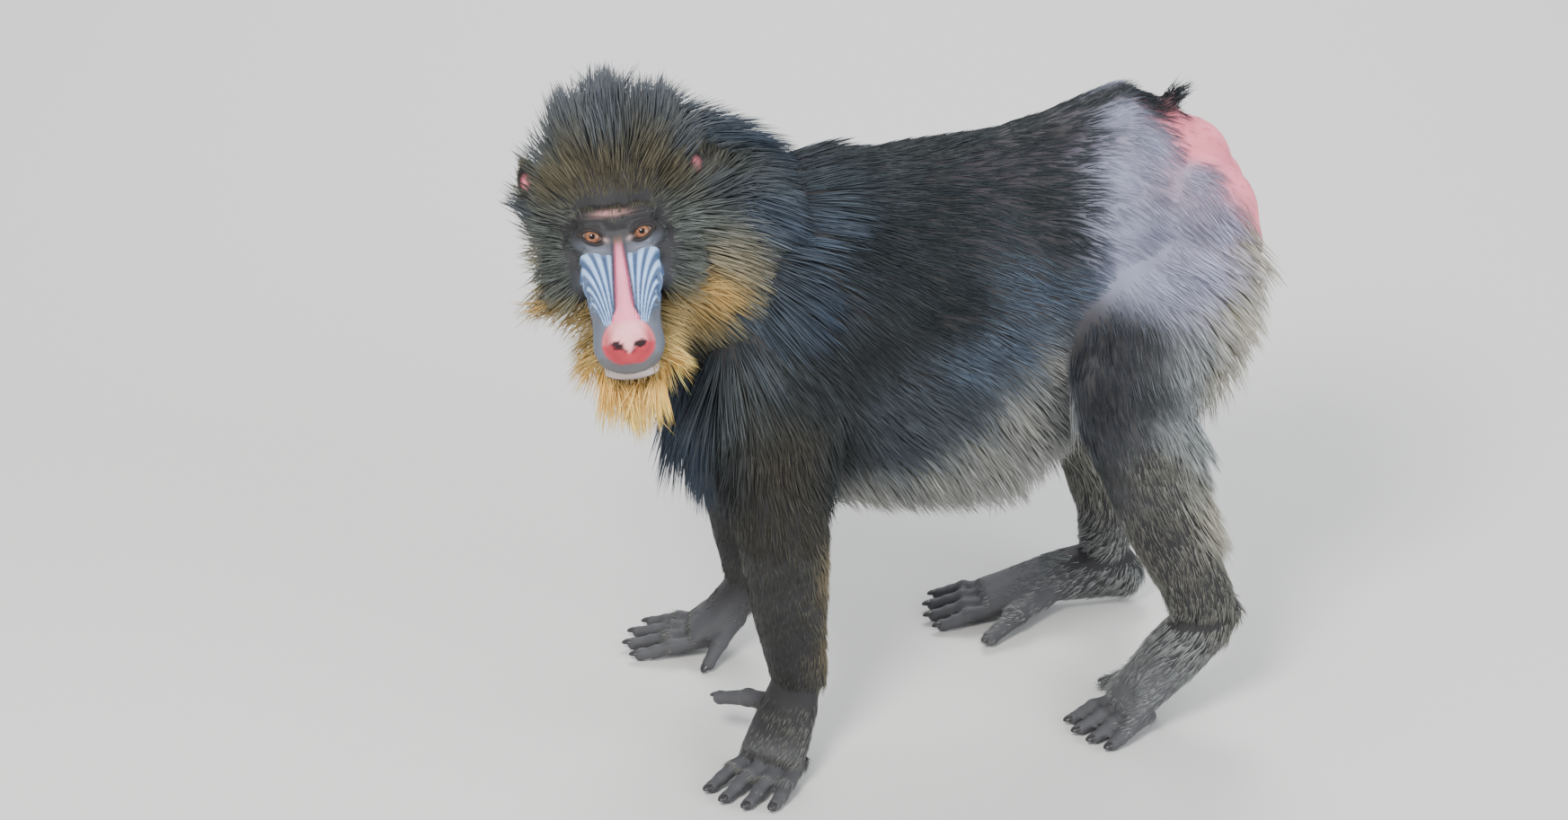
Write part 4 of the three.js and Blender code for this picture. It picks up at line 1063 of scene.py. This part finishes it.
def face_colours(points, base):
    """The face's markings over the skin's own colours, with painted shade in the ribs' furrows, the hollows
    beside the bridge, the nostrils and the mouth's line, and on the bridge's sides.
    """
    side, along, above = snout_coordinates(points)
    hside, forward, up = head_coordinates(points)
    wide = np.abs(side)
    strength, across = ridge_fields(points)
    flank = smooth(along, 30, 60) * (1 - smooth(wide, 37, 43)) * smooth(above, -52, -42)
    colour = mix(base, FACE_GREY, flank)
    # The ribs: pale blue on their crests, darkened in the furrows as painted shade
    crest = 0.5 - 0.5 * np.cos(2 * math.pi * across)
    blue = mix(RIB_FURROW_SHADE, RIB_BLUE, smooth(crest, 0.12, 0.7))
    colour = mix(colour, blue, smooth(strength, 0.1, 0.5))
    half = bridge_half(along)
    # Painted shade in the sunken hollow between the bridge and the ribs
    hollow = bump(wide, half + HOLLOW_OUT, 1.6) * smooth(along, 8, 20) * (1 - smooth(along, 96, 106))
    colour = mix(colour, HOLLOW_SHADE, hollow)
    # The bridge's pink, darkened towards both its sides as painted shade
    pink = mix(BRIDGE_PINK, BRIDGE_SIDE_SHADE, smooth(wide, half - 3, half - 0.5))
    pink = mix(pink, BRIDGE_TAN, 1 - smooth(along, 10, 30))
    bridge = (1 - smooth(wide, half - 1, half + 0.8)) * smooth(along, 3, 16) * (above > -16) * (up > -104)
    colour = mix(colour, pink, bridge)
    nose_across, nose_up = nose_place(points)
    nose = nose_front(nose_across, nose_up) * (along > 104) * (above > -46)
    fold = NOSTRIL_UP - 1 - SLIT_DROP * np.clip(1 - np.abs(nose_across) / NOSTRIL_ACROSS, 0, 1)
    pale = smooth(nose_up - fold, 0, 4) * (1 - 0.75 * smooth(np.abs(nose_across), 10, 21))
    colour = mix(colour, mix(NOSE_RED, NOSE_PALE, pale), nose)
    # Painted shade in the nostrils' holes and the slits that run from them
    for hand in (-1, 1):
        hole, slit = nostril(nose_across, nose_up, hand)
        colour = mix(colour, OPENING_SHADE, np.clip(smooth(hole, 0.0, 0.35) + slit * 0.8, 0, 1) * (along > 112))
    lip = above - mouth_height(side)
    upper = smooth(along, 96, 108) * (1 - nose) * smooth(lip, 0, 1) * (nose_up < -8)
    lower = smooth(along, 84, 102) * (1 - smooth(lip, -3, -1)) * smooth(lip, -20, -13)
    colour = mix(colour, LIP_GREY, upper)
    colour = mix(colour, LIP_PALE, lower)
    # Painted shade along the line of the mouth
    colour = mix(colour, OPENING_SHADE, bump(lip, 0, 1.5) * smooth(along, 50, 70))
    for hand in (-1, 1):
        gap = opening(hside, up, hand)
        beside = (hside - hand * EYE_SPACING / 2) * hand
        low = up - EYE_SLANT * beside
        near = (forward > -10) * (np.abs(beside) < 24)
        colour = mix(colour, LID_BLUE, bump(low, -12, 6) * bump(beside, -1, 15) * near * 0.8)
        colour = mix(colour, LID, smooth(gap, -5.5, -2.0) * near)
        colour = mix(colour, LID_CORNER, bump(beside, -12.5, 2.6) * bump(low, -1, 2.6) * near)
    for hand in (-1, 1):
        cup = bump(hside, hand * 82, 7) * bump(up, EAR[2], 11) * bump(forward, -54, 9)
        colour = mix(colour, PINK, smooth(cup, 0.3, 0.6) * 0.8)
    brow = bump(hside, -4, 14) * bump(up, 20.5, 3.2) * (forward > -10)
    return mix(colour, BROW_PINK, brow * 0.8)


def skin_colours(points):
    """The guides' colours of the skin, the face's markings with their painted shade, and a faint mottling."""
    base = guide_weights(points) @ GUIDE["skin"]
    near = near_head(points, 0, -20, 170)
    base[near] = face_colours(points[near], base[near])
    return base * (1 + 0.08 * wave(points, 26, 3))[:, None]


def paint(obj, colours):
    attribute = obj.data.color_attributes.new("Col", "FLOAT_COLOR", "POINT")
    rgba = np.ones((len(colours), 4), np.float32)
    rgba[:, :3] = np.clip(colours, 0, 1)
    attribute.data.foreach_set("color", rgba.ravel())
    obj.data.color_attributes.active_color = attribute


# Tufts of hair, rooted in the skin

TUFTS = 108000
LONG = 25.0  # tufts at least this long have two bends between root and tip, shorter ones have one
MOST_TRIANGLES = 190000
ON_HEAD = 1.9  # how much denser the tufts stand on the head
ROOT_DEPTH = 0.8
WIDTH = (0.50, 0.0165)  # a tuft's width at no length, and what each millimetre of length adds
DROOP = 0.12


def skin_samples(skin, count):
    """Roots spread over the skin where hair grows: places, normals, the skin's bake map there."""
    mesh = skin.data
    mesh.calc_loop_triangles()
    corners = read(mesh.loop_triangles, "vertices", 3, np.int32)
    loops = read(mesh.loop_triangles, "loops", 3, np.int32)
    uv = read(mesh.uv_layers["OFBake"].data, "uv", 2)
    points = placed_points(skin)
    normals = normals_of(skin)
    a, b, c = (points[corners[:, i]] for i in range(3))
    area = np.linalg.norm(np.cross(b - a, c - a), axis=1) / 2
    middle = (a + b + c) / 3
    weights = guide_weights(middle)
    share = weights @ GUIDE["share"]
    length = weights @ GUIDE["length"]
    chance = area * share * (1 + 22 / (length + 8)) * (share > 0.06)
    chance *= np.where(bare_places(middle), 0.0, 1.0)
    chance *= np.where(near_head(middle, -30, 0, 150), ON_HEAD, 1)
    chosen = rng.choice(len(area), size=count, p=chance / chance.sum())
    u, v = rng.random(count), rng.random(count)
    over = u + v > 1
    u[over], v[over] = 1 - u[over], 1 - v[over]
    blend = np.stack([1 - u - v, u, v], 1)[..., None]
    at = (points[corners[chosen]] * blend).sum(1)
    normal = (normals[corners[chosen]] * blend).sum(1)
    normal /= np.linalg.norm(normal, axis=1, keepdims=True)
    patch = (uv[loops[chosen]] * blend).sum(1)
    return at, normal, patch


def bare_places(points):
    """Which points lie on the bare face or the seat pads."""
    strength, _ = ridge_fields(points)
    side, along, above = snout_coordinates(points)
    hside, forward, up = head_coordinates(points)
    bridge = (np.abs(side) < 30) & (along > 6) & (above > -22)
    tip = (along > 100) & (above > -64) & (np.abs(side) < 40)
    bare = (strength > 0.05) | bridge | tip
    for hand in (-1, 1):
        bare |= (opening(hside, up, hand) > -5.5) & (forward > -6)
    pads = (points[:, 0] > 248) & (points[:, 2] > 470) & (points[:, 2] < 575)
    return (near_head(points, 0, -20, 170) & bare) | pads


def unit(vectors):
    return vectors / (np.linalg.norm(vectors, axis=1, keepdims=True) + 1e-9)


def grow_coat(skin):
    """All the tufts: a path of four points each, a width, a colour darkened at the root as painted shade, and
    a bake place.
    """
    at, normal, patch = skin_samples(skin, TUFTS)
    count = len(at)
    weights = guide_weights(at)
    lie = weights @ GUIDE["lie"]
    outward = (lie * normal).sum(1, keepdims=True)
    hanging = unit(lie - normal * np.minimum(outward, 0))
    lie = unit(lie - normal * outward)
    across = np.cross(normal, lie)
    turn = 0.14 * wave(at, 70, 5) + 0.12 * wave(at, 24, 6) + 0.07 * rng.normal(size=count)
    lie = lie * np.cos(turn)[:, None] + across * np.sin(turn)[:, None]
    length = (weights @ GUIDE["length"]) * rng.uniform(0.66, 1.12, count)
    lift = np.clip((weights @ GUIDE["lift"]) * rng.uniform(0.6, 1.4, count), 0.03, 1.2)[:, None]
    heading = lie * (1 - 0.5 * lift) + normal * lift
    free = smooth(length, 34, 60)[:, None]
    heading = heading * (1 - 0.5 * free) + hanging * 0.5 * free
    heading /= np.linalg.norm(heading, axis=1, keepdims=True)
    droop = np.outer(smooth(length, 20, 80), (0, 0, -DROOP))
    path = []
    for t in (0, 0.34, 0.68, 1.0):
        bent = heading * t + lie * (0.26 * t * t) + droop * (t * t)
        path.append(at - normal * ROOT_DEPTH + bent * (length * (1 - 0.15 * t))[:, None])
    path = gather(np.stack(path, 1), length)
    path[:, :, 2] = np.maximum(path[:, :, 2], 1.0)
    width = (WIDTH[0] + WIDTH[1] * length) * rng.uniform(0.75, 1.3, count)
    shade = rng.uniform(0.74, 1.26, count) * (1 + 0.16 * wave(at, 34, 8))
    pale = np.where(rng.random(count) < 0.15, rng.uniform(1.2, 1.6, count), 1.0)
    colour = np.exp(weights @ np.log(GUIDE["hair"])) * shade[:, None]
    totals = [weights[:, GUIDE_PART == part].sum(1) for part in range(len(GUIDE_SETS))]
    return {
        "path": path, "width": width, "normal": normal, "patch": patch, "length": length,
        # The root at 0.55 of the colour is painted shade deep in the coat; the tip is lifted to 1.25
        "part": np.stack(totals, 1).argmax(1), "root": colour * 0.55, "tip": colour * 1.25 * pale[:, None],
    }


def gather(path, length):
    """Draws the tips of neighbouring tufts together, so that they read as wisps."""
    count = len(path)
    seeds = rng.choice(count, size=count // 7, replace=False)
    tree = kdtree.KDTree(len(seeds))
    for i, s in enumerate(seeds):
        tree.insert(Vector(path[s, 0]), i)
    tree.balance()
    nearest = np.array([seeds[tree.find(Vector(p))[1]] for p in path[:, 0]])
    offset = path[nearest, 3] - path[nearest, 0]
    scaled = offset * (length / np.maximum(np.linalg.norm(offset, axis=1), 1))[:, None]
    target = path[nearest, 0] + scaled
    pull = 0.34 * (np.linalg.norm(path[:, 0] - path[nearest, 0], axis=1) < 0.5 * length + 4)
    for k, share in ((1, 0.2), (2, 0.6), (3, 1.0)):
        along = path[nearest, 0] + (target - path[nearest, 0]) * (k / 3)
        path[:, k] += (along - path[:, k]) * (pull * share)[:, None]
    return path


def tuft_mesh(name, hair, chosen, bends):
    """One mesh of closed three-sided tufts, with the given bends (point of the path, share of the width)."""
    path = hair["path"][chosen]
    width = hair["width"][chosen]
    count = len(path)
    along = path[:, 3] - path[:, 0]
    across = unit(np.cross(along, hair["normal"][chosen]))
    up = unit(np.cross(across, along))
    corners = [across, -across * 0.5 + up * 0.6, -across * 0.5 - up * 0.6]
    levels = [(0, 0.8), *bends]
    rings = [path[:, k] + corner * (width * share / 2)[:, None] for k, share in levels for corner in corners]
    rings.append(path[:, 3])
    verts = np.stack(rings, 1)
    each = len(rings)
    faces = [(0, 2, 1)]
    for k in range(0, each - 4, 3):
        for i in range(3):
            j = (i + 1) % 3
            faces += [(k + i, k + j, k + 3 + j), (k + i, k + 3 + j, k + 3 + i)]
    faces += [(each - 4 + i, each - 4 + (i + 1) % 3, each - 1) for i in range(3)]
    index = (np.array(faces)[None] + (np.arange(count) * each)[:, None, None]).reshape(-1, 3)
    mesh = bpy.data.meshes.new(name)
    mesh.vertices.add(count * each)
    mesh.vertices.foreach_set("co", place(verts.reshape(-1, 3)).astype(np.float32).ravel())
    mesh.loops.add(len(index) * 3)
    mesh.loops.foreach_set("vertex_index", index.ravel().astype(np.int32))
    mesh.polygons.add(len(index))
    mesh.polygons.foreach_set("loop_start", np.arange(0, len(index) * 3, 3, dtype=np.int32))
    mesh.polygons.foreach_set("use_smooth", np.ones(len(index), bool))
    mesh.update(calc_edges=True)
    obj = bpy.data.objects.new(name, mesh)
    bpy.context.scene.collection.objects.link(obj)
    t = np.array([k / 3 for k, _ in levels for _ in corners] + [1.0])
    # Each tuft's colour runs from its root's painted shade to its tip
    root, tip = hair["root"][chosen], hair["tip"][chosen]
    colours = root[:, None] * (1 - t)[None, :, None] + tip[:, None] * t[None, :, None]
    paint(obj, colours.reshape(-1, 3))
    spread = np.array([[0, 0], [1, 0], [0.5, 1]])
    patch = hair["patch"][chosen][:, None] + 0.0015 * (spread[np.arange(each) % 3] - 0.5)[None]
    layer = mesh.uv_layers.new(name="OFBake")
    layer.data.foreach_set("uv", patch.reshape(-1, 2)[index.ravel()].astype(np.float32).ravel())
    return obj


# Materials

def surface(name, roughness):
    """A material of the given roughness, and the shader that holds its values."""
    material = bpy.data.materials.new(name)
    material.use_nodes = True
    shader = material.node_tree.nodes["Principled BSDF"]
    shader.inputs["Roughness"].default_value = roughness
    return material, shader


def plain_material(name, roughness, colour):
    material, shader = surface(name, roughness)
    shader.inputs["Base Color"].default_value = (*colour, 1)
    return material


def painted_material(name, roughness, shine):
    """A material that takes its colour from what is painted on the piece."""
    material, shader = surface(name, roughness)
    shader.inputs["Specular IOR Level"].default_value = shine
    colour = material.node_tree.nodes.new("ShaderNodeAttribute")
    colour.attribute_name = "Col"
    material.node_tree.links.new(colour.outputs["Color"], shader.inputs["Base Color"])
    return material


def grained(material, scale, strength):
    """Adds the fine grain of skin."""
    nodes, links = material.node_tree.nodes, material.node_tree.links
    where = nodes.new("ShaderNodeTexCoord")
    noise = nodes.new("ShaderNodeTexNoise")
    noise.inputs["Scale"].default_value = scale
    noise.inputs["Detail"].default_value = 4
    height = nodes.new("ShaderNodeBump")
    height.inputs["Strength"].default_value = strength
    height.inputs["Distance"].default_value = MM
    links.new(where.outputs["Object"], noise.inputs["Vector"])
    links.new(noise.outputs["Fac"], height.inputs["Height"])
    links.new(height.outputs["Normal"], nodes["Principled BSDF"].inputs["Normal"])
    return material


# Eyes and nails

EYE_WHITE = (0.16, 0.12, 0.10)
# The iris from its dark rim inwards, and the pupil: colour, and the degrees over which it sets in
IRIS_RIM = ((0.09, 0.035, 0.016), 36, 40)
IRIS = ((0.25, 0.105, 0.055), 27, 36)
PUPIL = ((0.004, 0.003, 0.003), 12, 14)
IRIS_EDGE = 37
CORNEA = (0.07, 42)  # how far it swells, as a share of the radius, and the degrees that it covers
NAIL = (7.5, 4.6, 2.6)
NAIL_COLOUR = (0.03, 0.028, 0.03)


def make_eye(hand, name):
    """An eyeball with its iris and pupil, turned along the gaze."""
    at = (EYE_SPACING / 2, 0, 0)
    eye = head_ball(at, (EYEBALL, EYEBALL, EYEBALL), hand)
    only(eye)
    with editing():
        bpy.ops.mesh.subdivide(number_cuts=3, smoothness=1)
    eye.name = name
    centre = head_point(hand * at[0], 0, 0)
    away = vertices_of(eye) - centre
    away /= np.linalg.norm(away, axis=1, keepdims=True)
    looking = np.array(gaze)
    angle = np.degrees(np.arccos(np.clip(away @ (looking / np.linalg.norm(looking)), -1, 1)))
    swell = 1 + CORNEA[0] * (1 - smooth(angle, 0, CORNEA[1]))
    put_vertices(eye, place(centre + away * (EYEBALL * HEAD_SCALE * swell)[:, None]))
    colour = EYE_WHITE
    for shade, inner, outer in (IRIS_RIM, IRIS):
        colour = mix(colour, shade, 1 - smooth(angle, inner, outer))
    spokes = 1 + 0.18 * wave(away * 30, 9, 21)
    colour = colour * np.where(angle < IRIS_EDGE, spokes, 1)[:, None]
    shade, inner, outer = PUPIL
    paint(eye, mix(colour, shade, 1 - smooth(angle, inner, outer)))
    bpy.ops.object.shade_smooth()
    return eye


def make_nails(name):
    """Dark curved nails on the ends of the digits."""
    made = []
    for joints in digits_of(name):
        (before, _), (tip, radius) = joints[-2:]
        along = Vector(tip - before)
        along.z = min(along.z, -1.0)
        along, across, up = bar_axes(along)
        nail = ball((0, 0, 0), (1, 1, 1), segments=16)
        with editing():
            bpy.ops.mesh.bisect(plane_co=(0, 0, -0.1), plane_no=(0, 0, 1), clear_inner=True, use_fill=True)
        nail.scale = NAIL
        bpy.ops.object.transform_apply(location=False, rotation=False, scale=True)
        at = Vector(tip) + along * radius * 0.55 + up * radius * 0.42
        nail.data.transform(pose([along, across, up], at))
        made.append(nail)
    nails = joined(made, "nails_" + name)
    put_vertices(nails, place(vertices_of(nails)))
    only(nails)
    bpy.ops.object.shade_smooth()
    return nails


# Camera, floor and lights

VIEW_AZIMUTH = math.radians(14)
VIEW_ELEVATION = math.radians(27)
VIEW_DISTANCE = 5500.0
VIEW_WIDTH = 1483.0
VIEW_MIDDLE = np.array([0, 0, 300])
VIEW_SHIFT = (-176.4, -6.8)  # the aim's place in the picture from that middle, to the right and up
SENSOR = 36


def make_camera():
    """The camera stands off the animal's left side and is turned to its aim."""
    towards = bearing(VIEW_AZIMUTH, VIEW_ELEVATION)
    right = np.array([math.cos(VIEW_AZIMUTH), -math.sin(VIEW_AZIMUTH), 0])
    up = np.cross(towards, right)
    stand = VIEW_MIDDLE + towards * VIEW_DISTANCE
    aim = VIEW_MIDDLE + right * VIEW_SHIFT[0] + up * VIEW_SHIFT[1]
    towards = (stand - aim) / np.linalg.norm(stand - aim)
    right = np.cross((0, 0, 1), towards)
    right /= np.linalg.norm(right)
    camera = bpy.data.cameras.new("camera")
    camera.sensor_width = SENSOR
    camera.lens = SENSOR * VIEW_DISTANCE / VIEW_WIDTH
    camera.clip_end = 100
    obj = bpy.data.objects.new("camera", camera)
    bpy.context.scene.collection.objects.link(obj)
    obj.matrix_world = pose([right, np.cross(towards, right), towards], place(stand))
    bpy.context.scene.camera = obj


# Places and sizes of the lights in metres, their power in watts, their colour
LIGHTS = {
    "key": ((-1.6, -2.4, 3.2), 1.2, 175, (1, 0.98, 0.95)),
    "fill": ((2.4, -2.6, 1.6), 2.4, 85, (0.92, 0.96, 1)),
    "rim": ((0.6, 2.6, 2.8), 1.6, 85, (1, 1, 1)),
}
LIGHTS_AIM = Vector((0, 0, 0.35))
SKY = (0.85, 0.89, 0.95)
SKY_STRENGTH = 0.85
FLOOR = (0.72, 0.71, 0.69)
FLOOR_SIZE = 60


def make_light(name, at, size, power, colour):
    light = bpy.data.lights.new(name, "AREA")
    light.shape = "DISK"
    light.size = size
    light.energy = power
    light.color = colour
    obj = bpy.data.objects.new(name, light)
    bpy.context.scene.collection.objects.link(obj)
    obj.location = at
    obj.rotation_euler = (LIGHTS_AIM - Vector(at)).to_track_quat("-Z", "Y").to_euler()


def make_stage():
    bpy.ops.object.select_all(action="DESELECT")
    bpy.ops.mesh.primitive_plane_add(size=FLOOR_SIZE)
    floor = bpy.context.active_object
    floor.name = "floor"
    floor.data.materials.append(plain_material("floor", 0.9, FLOOR))
    for name, settings in LIGHTS.items():
        make_light(name, *settings)
    world = bpy.data.worlds.new("world")
    world.use_nodes = True
    sky = world.node_tree.nodes["Background"]
    sky.inputs["Color"].default_value = (*SKY, 1)
    sky.inputs["Strength"].default_value = SKY_STRENGTH
    bpy.context.scene.world = world


def ride(obj, material, slot, *stands_for):
    """Gives a piece its material and the solids that it stands for; the slot is not used."""
    obj.data.materials.clear()
    obj.data.materials.append(material)
    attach(obj, "root")
    if stands_for:
        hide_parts(*stands_for)


# The animal

EYES = {"eye_left": 1, "eye_right": -1}
skin = make_skin()
paint(skin, skin_colours(placed_points(skin)))
skin_material = grained(painted_material("bare_skin", 0.55, 0.22), 900, 0.5)
ride(skin, skin_material, "skin_dark", *[node for node in NODES if node not in EYES])

eye_material = painted_material("eye", 0.09, 0.35)
for node, hand in EYES.items():
    ride(make_eye(hand, node + "_ball"), eye_material, "eye", node)

nail_material = plain_material("nail", 0.35, NAIL_COLOUR)
for name in EXTREMITIES:
    ride(make_nails(name), nail_material, "skin_dark")

hair = grow_coat(skin)
coat_material = painted_material("coat", 0.65, 0.2)
KINDS = [
    ("", hair["length"] >= LONG, [(1, 1.0), (2, 0.72)]),
    ("_short", hair["length"] < LONG, [(1, 1.0)]),
]
for part, slot in enumerate(GUIDE_SETS):
    for kind, fitting, bends in KINDS:
        members = np.nonzero((hair["part"] == part) & fitting)[0]
        most = MOST_TRIANGLES // (4 + 6 * len(bends))
        for number, start in enumerate(range(0, len(members), most)):
            tufts = tuft_mesh(f"{slot}{kind}_{number + 1}", hair, members[start:start + most], bends)
            ride(tufts, coat_material, slot)

make_stage()
make_camera()
